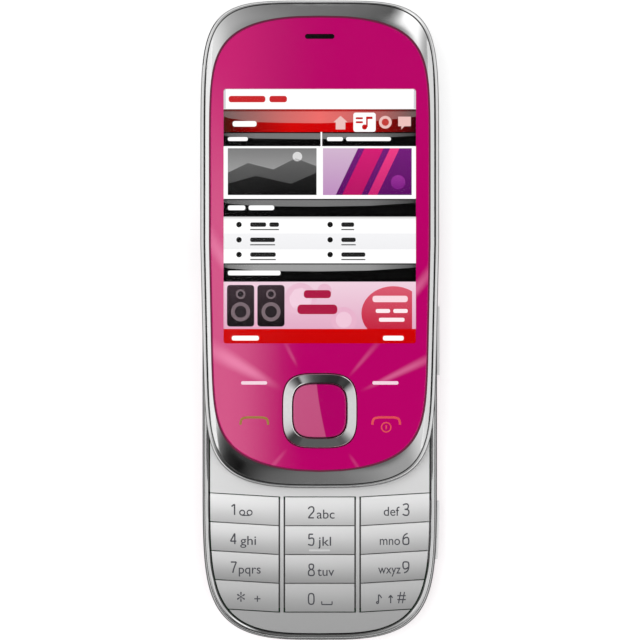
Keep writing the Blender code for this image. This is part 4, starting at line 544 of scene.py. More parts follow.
def box(low, high):
    low = Vector(low)
    high = Vector(high)
    place = Matrix.Translation((low + high) / 2) @ Matrix.Diagonal((high - low).to_4d())
    shape = bmesh.new()
    bmesh.ops.create_cube(shape, size=1, matrix=place)
    return done(shape)


def rod(foot, radius, length, axis="Z"):
    turn = Matrix.Rotation(-math.pi / 2, 4, "X") if axis == "Y" else Matrix.Identity(4)
    place = Matrix.Translation(foot) @ turn @ Matrix.Translation((0, 0, length / 2))
    shape = bmesh.new()
    bmesh.ops.create_cone(
        shape, cap_ends=True, segments=ROUND_SIDES, radius1=radius, radius2=radius, depth=length, matrix=place
    )
    return done(shape)


def lifted(mesh, height):
    mesh.transform(Matrix.Translation((0, 0, height)))
    return mesh


def line_through(curve, kind, points):
    """A new line of a curve through flat points."""
    spline = curve.splines.new(kind)
    spline.points.add(len(points) - 1)
    for point, (x, y) in zip(spline.points, points):
        point.co = (x, y, 0, 1)
    return spline


def plate(outlines, bottom, top):
    curve = bpy.data.curves.new("outline", "CURVE")
    curve.dimensions = "2D"
    curve.fill_mode = "BOTH"
    curve.extrude = (top - bottom) / 2
    for points in outlines:
        line_through(curve, "POLY", points).use_cyclic_u = True
    return lifted(evaluated_mesh(linked("outline", curve)), (top + bottom) / 2)


def bar_along_x(points, start, end):
    mesh = plate([points], start, end)
    mesh.transform(Matrix(((0, 0, 1, 0), (1, 0, 0, 0), (0, 1, 0, 0), (0, 0, 0, 1))))
    return mesh


def loft(rings, closed=False):
    shape = bmesh.new()
    rows = [[shape.verts.new((x, y, height)) for x, y in points] for points, height in rings]
    pairs = list(zip(rows, rows[1:]))
    if closed:
        pairs.append((rows[-1], rows[0]))
    for lower, upper in pairs:
        for i, corner in enumerate(lower):
            after = (i + 1) % len(lower)
            shape.faces.new((corner, lower[after], upper[after], upper[i]))
    if not closed:
        shape.faces.new(rows[0])
        shape.faces.new(rows[-1])
    return done(shape)


def reach(across, along, powers):
    low = 0
    high = REACH_LIMIT
    for _ in range(HALVINGS):
        middle = (low + high) / 2
        if (middle * across) ** powers[0] + (middle * along) ** powers[1] < 1:
            low = middle
        else:
            high = middle
    return low


def outline(half_width, half_length, top_powers, bottom_powers, steps=OUTLINE_STEPS, spread=TOP_END_POWERS):
    """A closed outline whose upper and lower halves follow powers of their own."""
    points = []
    for step in range(4 * steps):
        angle = math.tau * step / (4 * steps)
        across = math.copysign(abs(math.cos(angle)) ** (2 / spread[0]), math.cos(angle))
        along = math.copysign(abs(math.sin(angle)) ** (2 / spread[1]), math.sin(angle))
        out = reach(abs(across), abs(along), top_powers if along >= 0 else bottom_powers)
        points.append((out * across * half_width, out * along * half_length))
    return points


def body_outline(inset, low_powers=BOTTOM_END_POWERS):
    return outline(HALF_WIDTH - inset, HALF_LENGTH - inset, TOP_END_POWERS, low_powers)


def tapered(points, share):
    """Narrow an outline evenly towards its lower end."""
    end = min(y for _, y in points)
    return [(x * (1 - share * max(y / end, 0)), y) for x, y in points]


def display_outline(inset):
    return tapered(body_outline(inset, DISPLAY_END_POWERS), DISPLAY_TAPER_SHARE)


def face_outline(inset):
    half_width = HALF_WIDTH - FACE_SIDE_INSET - inset
    half_length = HALF_LENGTH - FACE_END_INSET - inset
    return tapered(outline(half_width, half_length, FACE_TOP_POWERS, FACE_BOTTOM_POWERS), FACE_TAPER_SHARE)


def ring_outline(inset):
    """The navigation ring's rounded square."""
    half = NAV_HALF - inset
    points = outline(half, half, NAV_POWERS, NAV_POWERS, NAV_STEPS, NAV_POWERS)
    return [(across, NAV_Y + along) for across, along in points]


def profile(shape, shares, inset, width, low, height):
    """Rings of a loft: each lies its share of a width inward and its share of a height up."""
    return [(shape(inset + inward * width), low + up * height) for inward, up in shares]


def rounded_top(shape, inset, top, radius):
    """Rings that round the upper edge of a shape off."""
    turns = [share * math.pi / 2 for share in ROUND_TURN_SHARES]
    return [
        (shape(inset + radius * (1 - math.cos(turn))), top - radius * (1 - math.sin(turn)))
        for turn in turns
    ]


def between(first, second, share):
    return [(x + share * (to_x - x), y + share * (to_y - y)) for (x, y), (to_x, to_y) in zip(first, second)]


def rounded_rectangle(middle, half_width, half_length, corner):
    points = []
    for quarter, (side, end) in enumerate(((1, 1), (-1, 1), (-1, -1), (1, -1))):
        x = middle[0] + side * (half_width - corner)
        y = middle[1] + end * (half_length - corner)
        for step in range(CORNER_STEPS + 1):
            angle = math.pi / 2 * (quarter + step / CORNER_STEPS)
            points.append((x + corner * math.cos(angle), y + corner * math.sin(angle)))
    return points


def slot(middle, size, bottom, top):
    """A plate with round ends, for cutting a slot."""
    half = size[1] / 2
    return plate([rounded_rectangle(middle, size[0] / 2, half, half)], bottom, top)


def side_x(y, inset):
    powers = TOP_END_POWERS if y >= 0 else BOTTOM_END_POWERS
    along = abs(y) / (HALF_LENGTH - inset)
    return (HALF_WIDTH - inset) * (1 - along ** powers[1]) ** (1 / powers[0])


def side_strip(low, high, outer_inset, inner_inset, bottom, top):
    rows = [low + (high - low) * step / SIDE_KEY_STEPS for step in range(SIDE_KEY_STEPS + 1)]
    outer = [(side_x(y, outer_inset), y) for y in rows]
    inner = [(side_x(y, inner_inset), y) for y in reversed(rows)]
    return plate([outer + inner], bottom, top)


def smoothed(mesh):
    for face in mesh.polygons:
        face.use_smooth = True
    mesh.set_sharp_from_angle(angle=SMOOTH_ANGLE)
    return mesh


def dressed(mesh, material):
    mesh.materials.clear()
    mesh.materials.append(material)
    return mesh


def evened(made):
    """Let large faces lead the smooth shading, so that flat ones look flat."""
    normals = made.modifiers.new("normals", "WEIGHTED_NORMAL")
    normals.keep_sharp = True


def piece(name, mesh, material, body, *nodes, bevel=0):
    """Show a mesh, drawn in its half's frame, as a piece that rides on a body and stands for its nodes."""
    mesh.name = name
    made = linked(name, smoothed(dressed(mesh, material)))
    made.location = (0, DISPLAY_Y if body in DISPLAY_BODIES else BASE_Y, 0)
    if bevel:
        rounded = made.modifiers.new("edge", "BEVEL")
        rounded.width = bevel
        rounded.segments = BEVEL_STEPS
        rounded.limit_method = "ANGLE"
        rounded.angle_limit = BEVEL_ANGLE
    evened(made)
    if nodes:
        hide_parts(*nodes)
    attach(made, body)


def with_painted_shade(mesh, painted_shade):
    """Write a painted shade to each corner of a mesh, from its place."""
    layer = mesh.color_attributes.new("tone", "FLOAT_COLOR", "CORNER")
    for loop in mesh.loops:
        layer.data[loop.index].color = painted_shade(mesh.vertices[loop.vertex_index].co)
    return mesh


DISPLAY_BODIES = {"display", "nav_rocker", "nav_ring", "select_key"}


# Base half

def back_shell(low, high):
    width = BACK_ROUNDING - BACK_TOP_INSET
    outer = profile(body_outline, BACK_PROFILE_SHARES, BACK_TOP_INSET, width, 0, BACK_DEPTH)
    inner = profile(
        body_outline, BACK_PROFILE_SHARES, BACK_TOP_INSET + BACK_SKIN, width,
        BACK_SKIN, BACK_DEPTH - BACK_SKIN,
    )
    far = HALF_WIDTH + OVERRUN
    part = box((-far, low, -OVERRUN), (far, high, BACK_DEPTH + OVERRUN))
    return carved(loft(outer + inner[::-1]), "INTERSECT", part)


def nose_holes():
    holes = []
    for x, rise, radius in NOSE_HOLES:
        foot = (x, HALF_LENGTH - NOSE_BACK_FROM_TOP, rise)
        holes.append(rod(foot, radius, NOSE_BACK_FROM_TOP + OVERRUN, "Y"))
    return holes


def covers():
    split = HALF_LENGTH - COVER_SPLIT_FROM_TOP
    far = HALF_LENGTH + OVERRUN
    lower = back_shell(-far, split - COVER_SEAM / 2)
    piece("lower_cover_skin", lower, COVER_PINK, "battery_cover", "battery_cover")
    foot = (0, HALF_LENGTH - CAMERA_FROM_TOP, -OVERRUN)
    tools = [rod(foot, CAMERA_RING_RADIUS + FIT_GAP, BACK_DEPTH + OVERRUN)]
    x, middle = SPEAKER_PLACE
    for i in range(SPEAKER_SLOTS):
        y = middle + (i - (SPEAKER_SLOTS - 1) / 2) * SPEAKER_SLOT_PITCH
        tools.append(slot((x, y), SPEAKER_SLOT, -OVERRUN, BACK_SKIN + OVERRUN))
    upper = carved(back_shell(split + COVER_SEAM / 2, far), "DIFFERENCE", *tools, *nose_holes())
    piece("upper_cover_skin", upper, COVER_PINK, "base", "antenna_cover")


def base_band():
    bottom = BACK_DEPTH + FIT_GAP
    crest = BAND_INSET + RIM_CREST_INSET
    rings = profile(body_outline, BASE_BAND_SHARES, BAND_INSET, RIM_CREST_INSET, bottom, BASE_CREST - bottom)
    rings += profile(body_outline, RIM_INNER_SHARES, crest, RIM_WALL - crest, BASE_CREST, -RIM_DROP)
    for inset, level in ((RIM_WALL, RIM_FOOT), (BASE_WALL, RIM_FOOT), (BASE_WALL, bottom)):
        rings.append((body_outline(inset), level))
    low, high = DATA_SOCKET_LEVELS
    tools = nose_holes()
    tools.append(box(
        (-HALF_WIDTH - OVERRUN, DATA_SOCKET_Y - DATA_SOCKET_HALF, low),
        (-HALF_WIDTH + 2 * BASE_WALL, DATA_SOCKET_Y + DATA_SOCKET_HALF, high),
    ))
    for y, length in SIDE_KEYS:
        half = length / 2 + POCKET_GAP
        tools.append(side_strip(y - half, y + half, -OVERRUN, BASE_WALL + OVERRUN, *SIDE_KEY_LEVELS))
    x, rise, radius = MICROPHONE_HOLE
    tools.append(rod((x, -HALF_LENGTH - OVERRUN, rise), radius, BASE_WALL + 2 * OVERRUN, "Y"))
    band = carved(loft(rings, closed=True), "DIFFERENCE", *tools)
    piece("base_band_skin", band, SILVER_BAND, "base", "base_frame")


def slanted(mesh, side):
    """Shear an outer key's shape, so that its rows rise or fall to the side."""
    slope = side * SLANT_SHARE
    shear = Matrix.Identity(4)
    shear[1][0] = slope
    shear[1][3] = -slope * side * OUTER_KEY_START
    mesh.transform(shear)
    return mesh


# Painted shade of the deck and of its two strips, darker towards the chin: levels from the chin up to the
# display half's edge
DECK_PAINTED_SHADES = (
    (-0.049, 160), (-0.0430, 164), (-0.0371, 172), (-0.0313, 203), (-0.0255, 212), (-0.0196, 216),
    (-0.0150, 220),
)
STRIP_PAINTED_SHADES = ((-0.0430, 153), (-0.0196, 236))
# Painted light and shade of the keys, lighter at each key's upper edge and darker at its lower, and darker
# row by row downwards: levels at the upper and lower edge of the keys of each row, and the power of its
# course between them
KEY_PAINTED_SHADES = ((234, 194), (222, 174), (206, 156), (186, 158))
KEY_PAINTED_SHADE_POWER = 1.3


def from_table(table, value):
    """The level between the rows of a table, and before its first row the first level."""
    for (low, first), (high, second) in zip(table, table[1:]):
        if value <= high:
            return first + max((value - low) / (high - low), 0) * (second - first)
    return table[-1][1]


def keypad_deck():
    low = KEYPAD_BOTTOM - KEY_GAP / 2
    high = KEYPAD_TOP + KEY_GAP / 2
    bottom = FASCIA_BOTTOM - OVERRUN
    top = FASCIA_TOP + OVERRUN
    tools = [box((-STRIP_START, low, bottom), (STRIP_START, high, top))]
    for side in (-1, 1):
        start, end = sorted((side * (STRIP_START + STRIP_WIDTH), side * (HALF_WIDTH + OVERRUN)))
        tools.append(slanted(box((start, low, bottom), (end, high, top)), side))
    half_width, half_length = (size / 2 for size in FLEX_SLOT)
    tools.append(box((-half_width, FLEX_Y - half_length, bottom), (half_width, FLEX_Y + half_length, top)))
    deck = carved(plate([body_outline(DECK_INSET)], FASCIA_BOTTOM, FASCIA_TOP), "DIFFERENCE", *tools)

    # Painted shade of the deck and strips, darker towards the chin
    def painted_shade(place):
        beside = abs(place.x) > OUTER_KEY_START or not KEYPAD_BOTTOM <= place.y <= KEYPAD_TOP
        return grey(from_table(DECK_PAINTED_SHADES if beside else STRIP_PAINTED_SHADES, place.y))

    deck = with_painted_shade(rows_cut(deck, [y for y, _ in DECK_PAINTED_SHADES]), painted_shade)
    piece("deck_skin", deck, DECK_PAINT, "base", "keypad_fascia")


def rows_cut(mesh, rows):
    """Cut a mesh across at rows, so that its painted shade or its level can change there."""
    shape = bmesh.new()
    shape.from_mesh(mesh)
    for y in rows:
        everything = shape.verts[:] + shape.edges[:] + shape.faces[:]
        bmesh.ops.bisect_plane(shape, geom=everything, plane_co=(0, y, 0), plane_no=(0, 1, 0))
    return done(shape)


def crowned_key(side, low, high):
    shoulder = KEY_TOP - KEY_CROWN
    shape = [(low, KEY_BOTTOM), (high, KEY_BOTTOM)]
    for step in range(KEY_CROWN_STEPS + 1):
        share = step / KEY_CROWN_STEPS
        shape.append((high + share * (low - high), shoulder + KEY_CROWN * math.sin(math.pi * share)))
    if side == 0:
        return bar_along_x(shape, -MIDDLE_KEY_HALF, MIDDLE_KEY_HALF)
    ends = sorted((side * OUTER_KEY_START, side * (HALF_WIDTH + OVERRUN)))
    area = plate([body_outline(DECK_INSET)], KEY_BOTTOM - OVERRUN, KEY_TOP + OVERRUN)
    return carved(slanted(bar_along_x(shape, *ends), side), "INTERSECT", area)


KEY_NAMES = [[f"key_{sign}" for sign in row] for row in ("123", "456", "789", ("star", "0", "hash"))]


def key_top_y(row):
    return KEYPAD_TOP - row * KEY_ROW_PITCH - KEY_GAP / 2


def down_key(row, side, place):
    """How far down its key a place lies, from 0 at the upper edge to 1 at the lower."""
    high = key_top_y(row) + abs(side) * SLANT_SHARE * (abs(place.x) - OUTER_KEY_START)
    return min(max((high - place.y) / (KEY_ROW_PITCH - KEY_GAP), 0), 1)


def on_key(mesh, key):
    """Lay a flat shape on the crowned top of its key."""
    row = next(row for row, names in enumerate(KEY_NAMES) if key in names)
    side = KEY_NAMES[row].index(key) - 1
    for vertex in mesh.vertices:
        vertex.co.z += KEY_CROWN * (math.sin(math.pi * down_key(row, side, vertex.co)) - 1)
    return mesh


def key_caps():
    for row, names in enumerate(KEY_NAMES):
        high = key_top_y(row)
        for side, name in zip((-1, 0, 1), names):

            # Painted light and shade on each key: lighter at its upper edge, darker at its lower
            def painted_shade(place, row=row, side=side):
                first, second = KEY_PAINTED_SHADES[row]
                return grey(first + down_key(row, side, place) ** KEY_PAINTED_SHADE_POWER * (second - first))

            mesh = with_painted_shade(crowned_key(side, high - KEY_ROW_PITCH + KEY_GAP, high), painted_shade)
            piece(f"{name}_cap", mesh, KEY_PAINT, name, name, bevel=KEY_EDGE)


# Legends: key, baseline, then each text and its left edge. Lengths are in millimetres
MILLIMETRE = 0.001
LETTER_HEIGHT = 1.92
LEGENDS = (
    ("key_1", -23.42, ("1", -17.95)),
    ("key_2", -23.99, ("2", -2.43), ("abc", -0.6)),
    ("key_3", -23.42, ("3", 16.7), ("def", 12.95)),
    ("key_4", -29.32, ("4", -18.2), ("ghi", -16.1)),
    ("key_5", -29.49, ("5", -2.43), ("jkl", -0.35)),
    ("key_6", -29.32, ("6", 16.7), ("mno", 12.15)),
    ("key_7", -35.12, ("7", -18.0), ("pqrs", -16.4)),
    ("key_8", -35.59, ("8", -2.43), ("tuv", -0.5)),
    ("key_9", -35.12, ("9", 16.7), ("wxyz", 11.82)),
    ("key_star", -42.1, ("*", -16.75)),
    ("key_star", -41.15, ("+", -13.25)),
    ("key_0", -41.49, ("0", -2.43)),
    ("key_hash", -40.88, ("#", 15.7)),
)
LEGEND_WIDTHS = {
    "abc": 3.6, "def": 3.2, "ghi": 3.2, "jkl": 2.65, "mno": 4.1, "pqrs": 4.45, "tuv": 3.42, "wxyz": 4.55,
    "*": 1.6, "#": 1.7,
}
SIGN_HEIGHTS = {"*": 3.3, "+": 1.9, "#": 2.4}
CAPITAL_SHARE = 0.73
LEGEND_PROUD = 0.000012
LEGEND_DEPTH = 0.00006
LEGEND_BOLDNESS = 0.00001
LEGEND_CUT = 0.00025
LEGEND_CUTS = 16
# Strokes of the digits, as paths in a box one wide and one high; a path that ends where it starts is closed
DIGIT_BOX = (1.13, 2.18)
DIGIT_STROKE = 0.14
STROKE_FLATNESS = 0.12
STROKE_ROUNDNESS = 1
STROKE_ORDER = 3
STROKE_STEPS = 5
SIX = (
    (0.85, 1), (0.35, 0.92), (0.02, 0.62), (-0.02, 0.02), (0.5, -0.03), (1.08, 0), (1.02, 0.6), (0.5, 0.66),
    (0.08, 0.48),
)
DIGITS = {
    "0": (
        ((0, 0.5), (0, 0.8), (0.2, 1), (0.8, 1), (1, 0.8), (1, 0.2), (0.8, 0), (0.2, 0), (0, 0.2), (0, 0.5)),
    ),
    "1": (((0.1, 0.8), (0.65, 1)), ((0.65, 1), (0.65, 0))),
    "2": (((0.02, 0.8), (0.1, 0.99), (0.9, 1.06), (1.05, 0.62), (0.45, 0.33), (0, 0)), ((0, 0), (1, 0))),
    "3": (
        ((0.05, 0.93), (0.35, 1.03), (1.05, 1.03), (0.95, 0.5), (0.35, 0.53)),
        ((0.35, 0.53), (1.15, 0.56), (1.08, -0.03), (0.3, -0.03), (0, 0.09)),
    ),
    "4": (((0.78, 1), (0, 0.28)), ((0, 0.28), (1.05, 0.28)), ((0.78, 1), (0.78, 0))),
    "5": (
        ((0.9, 1), (0.2, 1)), ((0.2, 1), (0.14, 0.56)),
        ((0.14, 0.56), (0.6, 0.68), (1.08, 0.6), (1, 0), (0.5, -0.04), (0, 0.06)),
    ),
    "6": (SIX,),
    "7": (((0, 1), (1, 1)), ((1, 1), (0.55, 0.5), (0.35, 0))),
    "8": (
        ((0.5, 0.53), (0.14, 0.58), (0.06, 0.97), (0.5, 1.04), (0.94, 0.97), (0.86, 0.58), (0.5, 0.53)),
        ((0.5, 0.53), (0.04, 0.5), (-0.06, 0), (0.5, -0.05), (1.06, 0), (0.96, 0.5), (0.5, 0.53)),
    ),
    "9": (tuple((1 - x, 1 - y) for x, y in SIX),),
}


def stroked(paths, radius):
    """Lines of one width along smooth paths, pressed flat round level 0."""
    curve = bpy.data.curves.new("strokes", "CURVE")
    curve.dimensions = "3D"
    curve.bevel_depth = radius
    curve.bevel_resolution = STROKE_ROUNDNESS
    curve.use_fill_caps = True
    for points in paths:
        spline = line_through(curve, "NURBS", points)
        spline.order_u = STROKE_ORDER
        spline.resolution_u = STROKE_STEPS
        spline.use_endpoint_u = True
    mesh = evaluated_mesh(linked("strokes", curve))
    mesh.transform(Matrix.Diagonal((1, 1, STROKE_FLATNESS, 1)))
    return mesh


def legend_mesh(text):
    """A digit in strokes, or letters in plain type."""
    if text in DIGITS:
        wide, high = (size * MILLIMETRE for size in DIGIT_BOX)
        radius = DIGIT_STROKE * MILLIMETRE
        return stroked([[(x * wide, y * high + radius) for x, y in path] for path in DIGITS[text]], radius)
    curve = bpy.data.curves.new("legend", "FONT")
    curve.body = text
    curve.size = SIGN_HEIGHTS.get(text, LETTER_HEIGHT) * MILLIMETRE / CAPITAL_SHARE
    curve.extrude = LEGEND_DEPTH / 2
    curve.offset = LEGEND_BOLDNESS
    return lifted(evaluated_mesh(linked("legend", curve)), LEGEND_PROUD - LEGEND_DEPTH / 2)


def legends():
    words = [(key, baseline, text, left) for key, baseline, *texts in LEGENDS for text, left in texts]
    for i, (key, baseline, text, left) in enumerate(words):
        mesh = legend_mesh(text)
        xs = [vertex.co.x for vertex in mesh.vertices]
        width = max(xs) - min(xs)
        wanted = LEGEND_WIDTHS.get(text, width / MILLIMETRE) * MILLIMETRE
        place = Matrix.Translation((left * MILLIMETRE, baseline * MILLIMETRE, KEY_TOP))
        stretch = Matrix.Diagonal((wanted / width, 1, 1, 1))
        mesh.transform(place @ stretch @ Matrix.Translation((-min(xs), 0, 0)))
        if text not in DIGITS:
            low = (baseline - LETTER_HEIGHT / 2) * MILLIMETRE
            mesh = rows_cut(mesh, [low + step * LEGEND_CUT for step in range(LEGEND_CUTS)])
        piece(f"{key}_legend_{i}", on_key(mesh, key), LEGEND_GREY, key)


def ring_points(x, y, radius_x, radius_y, count):
    turns = [math.tau * i / count for i in range(count)]
    return [(x + radius_x * math.cos(turn), y + radius_y * math.sin(turn)) for turn in turns]


def scaled(points):
    return [(x * MILLIMETRE, y * MILLIMETRE) for x, y in points]


SIGN_STROKE = 0.12
KEY_SIGNS = {
    "key_1": (((-15.7, -23.35), (-14.2, -23.35)),),
    "key_0": (((0.4, -40.75), (0.4, -41.4)), ((0.4, -41.4), (2.5, -41.4)), ((2.5, -41.4), (2.5, -40.75))),
    "key_hash": (
        ((11.9, -41.0), (11.9, -39.4)), ((11.9, -39.4), (12.35, -39.6), (12.5, -40.1)),
        ((13.95, -40.05), (14.35, -39.5)), ((14.35, -39.5), (14.75, -40.05)),
        ((14.35, -39.5), (14.35, -41.15)),
    ),
}
SIGN_RINGS = {"key_1": ((-15.7, -22.8, 0.5), (-14.2, -22.8, 0.5)), "key_hash": ((11.68, -41.0, 0.2),)}
# Middle, half width, half length and corner of the raised bar
KEY_5_BAR = ((-0.05, -30.42), 2.15, 0.2, 0.19)


def round_path(x, y, radius):
    """A closed round path, whose first point comes again at its end."""
    points = ring_points(x, y, radius, radius, ROUND_PATH_STEPS)
    return points + points[:1]


def key_signs():
    """The keys' signs that aren't letters: voicemail, a space bracket, a note, an arrow, a raised bar."""
    for key, paths in KEY_SIGNS.items():
        rings = [round_path(*ring) for ring in SIGN_RINGS.get(key, ())]
        mesh = stroked([scaled(path) for path in (*paths, *rings)], SIGN_STROKE * MILLIMETRE)
        piece(f"{key}_sign", on_key(lifted(mesh, KEY_TOP), key), LEGEND_GREY, key)
    bar = plate([scaled(rounded_rectangle(*KEY_5_BAR))], KEY_TOP - KEY_CROWN, KEY_TOP + 3 * LEGEND_PROUD)
    piece("key_5_bar", bar, KEY_BAR, "key_5")


# Display half

def display_tray():
    top = DISPLAY_BOTTOM + DISPLAY_BAND_HEIGHT
    rings = profile(
        display_outline, DISPLAY_BAND_SHARES, 0, DISPLAY_BOTTOM_INSET, DISPLAY_BOTTOM, DISPLAY_BAND_HEIGHT
    )
    inner = display_outline(DISPLAY_WALL)
    rings += [(inner, top - FIT_GAP), (inner, FLOOR_TOP)]
    low = (-POCKET_HALF, POCKET_LOW, DISPLAY_BOTTOM - OVERRUN)
    tray = carved(loft(rings), "DIFFERENCE", box(low, (POCKET_HALF, POCKET_HIGH, FLOOR_TOP + OVERRUN)))
    piece("display_band_skin", tray, SILVER_BAND, "display", "display_frame")


def bezel_skin():
    skirt = DISPLAY_WALL + GROOVE
    side = display_outline(skirt)
    start = display_outline(skirt + BEZEL_ROUND)
    inner = display_outline(skirt + BEZEL_SKIRT)
    crest = face_outline(-GAP_SHADE_OUT)
    ledge = face_outline(LEDGE_WIDTH)
    foot = FLOOR_TOP + FIT_GAP
    low = DISPLAY_BOTTOM + DISPLAY_BAND_HEIGHT
    top = FACE_BOTTOM - FIT_GAP
    rings = [(side, foot), (side, low - BEZEL_ROUND)]
    for step in range(BEZEL_STEPS + 1):
        share = step / BEZEL_STEPS
        height = low + share * (BEZEL_CREST - low) + 4 * share * (1 - share) * BEZEL_BULGE
        rings.append((between(start, crest, share), height))
    rings += [(crest, top), (ledge, top), (ledge, top - LEDGE_THICKNESS)]
    rings += [(inner, top - 2 * LEDGE_THICKNESS), (inner, foot)]
    piece("bezel_skin", loft(rings, closed=True), CHROME, "display", "bezel")


def screen_outline(inset):
    half_width = SCREEN_HALF_WIDTH - inset
    return rounded_rectangle((0, SCREEN_Y), half_width, SCREEN_LENGTH / 2 - inset, SCREEN_CORNER)


def face_skin():
    edge = face_outline(GAP_SHADE_WIDTH)
    rings = [(edge, FACE_BOTTOM), (edge, FACE_TOP - FACE_CHAMFER)]
    rings += rounded_top(face_outline, GAP_SHADE_WIDTH, FACE_TOP, FACE_CHAMFER)
    levels = (FACE_BOTTOM - OVERRUN, FACE_TOP + OVERRUN)
    tools = [plate([points], *levels) for points in (screen_outline(0), ring_outline(-NAV_HOLE_GAP))]
    tools.append(slot((0, EARPIECE_Y), EARPIECE_SLOT, *levels))
    piece("face_skin", carved(loft(rings), "DIFFERENCE", *tools), FACE_PINK, "display", "front_face")
    # A slightly recessed ring of dark pink between face and bezel: painted shade of the gap there
    gap_shade_ring = plate([face_outline(FIT_GAP / 4 - GAP_SHADE_OUT), edge], FACE_BOTTOM, FACE_TOP - GAP_SHADE_DROP)
    piece("face_gap_shade_ring", gap_shade_ring, FACE_GAP_SHADE, "display")
    pane = plate([screen_outline(FIT_GAP)], FACE_BOTTOM + FIT_GAP, FACE_TOP)
    piece("window_pane", pane, CLEAR, "display", "display_window")


def navigation():
    rings = [(ring_outline(0), NAV_BOTTOM)]
    rings += profile(ring_outline, NAV_RING_SHARES, 0, NAV_RING_WIDTH, NAV_BOTTOM, NAV_TOP - NAV_BOTTOM)
    rings.append((ring_outline(NAV_RING_WIDTH), NAV_BOTTOM))
    piece("ring_skin", loft(rings, closed=True), BRIGHT_CHROME, "nav_ring", "nav_ring")
    inset = NAV_RING_WIDTH + SELECT_GAP
    rings = [(ring_outline(inset), SELECT_BOTTOM), (ring_outline(inset), SELECT_TOP - SELECT_EDGE)]
    rings += rounded_top(ring_outline, inset, SELECT_TOP, SELECT_EDGE)
    foot = (0, NAV_Y, SELECT_STEM_BOTTOM)
    stem = rod(foot, SELECT_STEM_RADIUS, SELECT_BOTTOM + SELECT_EDGE - SELECT_STEM_BOTTOM)
    piece("select_cap", carved(loft(rings), "UNION", stem), SELECT_PINK, "select_key", "select_key")


# Signs printed on the face, in millimetres round the display half's centre
SIGN_PROUD = 0.00001
SIGN_DEPTH = 0.00004
SOFT_KEYS = {"left": -13.1, "right": 13.1}
SOFT_KEY_Y = -27.75
# Half width, half length and corner of a soft key's bar
SOFT_KEY_BAR = (2.6, 0.34, 0.32)
SIGN_Y = -35.25
HANDSET = (
    (-2.75, -0.85), (-2.75, 0.2), (-1.9, 0.62), (0, 0.62), (1.9, 0.62), (2.75, 0.2), (2.75, -0.85),
)
END_RING = (0, -1.35, 0.95)
END_BAR = ((0, -0.95), (0, -1.75))
# Name, place across, half width of the stroke and finish of each sign
FACE_SIGNS = (
    ("send_sign", -13.06, 0.23, SEND_GREEN),
    ("end_sign", 13.26, 0.23, END_RED),
    ("end_ring", 13.26, 0.13, END_RED),
)


def face_signs():
    top = FACE_TOP + SIGN_PROUD
    for side, x in SOFT_KEYS.items():
        bar = scaled(rounded_rectangle((x, SOFT_KEY_Y), *SOFT_KEY_BAR))
        piece(f"soft_sign_{side}", plate([bar], top - SIGN_DEPTH, top), BAR_WHITE, "display")
    for name, x, radius, material in FACE_SIGNS:
        paths = (round_path(*END_RING), END_BAR) if name == "end_ring" else (HANDSET,)
        placed = [scaled([(x + px, SIGN_Y + py) for px, py in path]) for path in paths]
        piece(name, lifted(stroked(placed, radius * MILLIMETRE), FACE_TOP), material, "display")


# The lit screen, drawn in its own dots, 240 across and 320 down
DOTS_ACROSS = 240
DOT = 2 * SCREEN_HALF_WIDTH / DOTS_ACROSS
DOTS_DOWN = SCREEN_LENGTH / DOT
SCREEN_LEVEL = 0.01292
LEVEL_STEP = 0.000016

WHITE = (252, 252, 252)
BLACK = (6, 6, 6)
RED = (190, 12, 14)
SOFT_RED = (232, 190, 186)
INK = (36, 36, 36)
MAGENTA = (168, 28, 66)
BLUSH = (250, 232, 236)
# How deep the shine of a bar reaches and how bright it is, at dots from the left end
SHINE_SHARES = (
    (0, 0.4, 0.5), (6, 0.55, 0.8), (40, 0.9, 1), (76, 0.97, 1), (120, 1, 1), (181, 0.88, 0.95),
    (234, 0.48, 0.6), (240, 0.42, 0.4),
)
# The header: rows of its dark line and of its lower part, then top, upper edge and depth of its shine
HEADER_LINE_ROWS = (24.6, 27.4)
HEADER_LOWER_ROWS = (27.3, 53.2)
HEADER_SHINE = (27.4, 28, 14.2)
# Colours across the header's dark line, upper and lower part, at dots from its left end
HEADER_LINE = ((0, (84, 40, 38)), (100, (172, 36, 34)), (150, (180, 36, 36)), (240, (60, 38, 38)))
HEADER_UPPER = ((0, (114, 96, 94)), (100, (230, 109, 106)), (150, (236, 106, 104)), (240, (104, 88, 86)))
HEADER_LOWER = (
    (0, (62, 20, 10)), (14, (96, 3, 3)), (55, (170, 5, 5)), (85, (204, 4, 4)), (155, (196, 2, 6)),
    (195, (138, 12, 10)), (240, (42, 4, 8)),
)
# Black title bars: top, bottom, and depth and brightness of the shine, which starts a little below the top
TITLE_BARS = ((53.2, 70.9, 7.4, 116), (136.8, 159, 8.2, 117), (217.4, 240.4, 8.6, 152))
SHINE_START = 1.5
BANNER_ROWS = (240.5, 299.5)
# Left, top, right, bottom, level, colour, and the colour at the bottom where it differs
BARS = (
    (0, 0, 240, DOTS_DOWN, 0, WHITE),
    (121, 53.2, 123, 73, 3, WHITE),
    (0, 159, 240, 163, 1, (200, 200, 200), WHITE),
    (0, 180, 240, 200, 1, (240, 240, 242), (236, 236, 238)),
    (0, 299.5, 240, DOTS_DOWN, 1, (200, 4, 4), (196, 3, 3)),
    # Grey strips down both sides of the screen's top rows: painted shade of the screen's recess below the
    # face
    (0, 0, 2.5, 24, 2, (206, 206, 210)),
    (240, 0, 237.5, 24, 2, (206, 206, 210)),
    (178, 34, 180, 47, 4, RED),
    (178, 34, 186, 37, 4, RED),
    (5, 73.5, 116, 132, 1, (122, 122, 122), (176, 176, 176)),
    (124, 73.5, 235, 132, 1, (112, 30, 118), (88, 16, 96)),
    (0, 240.4, 240, 299.5, 1, (236, 206, 220), (222, 168, 194)),
)
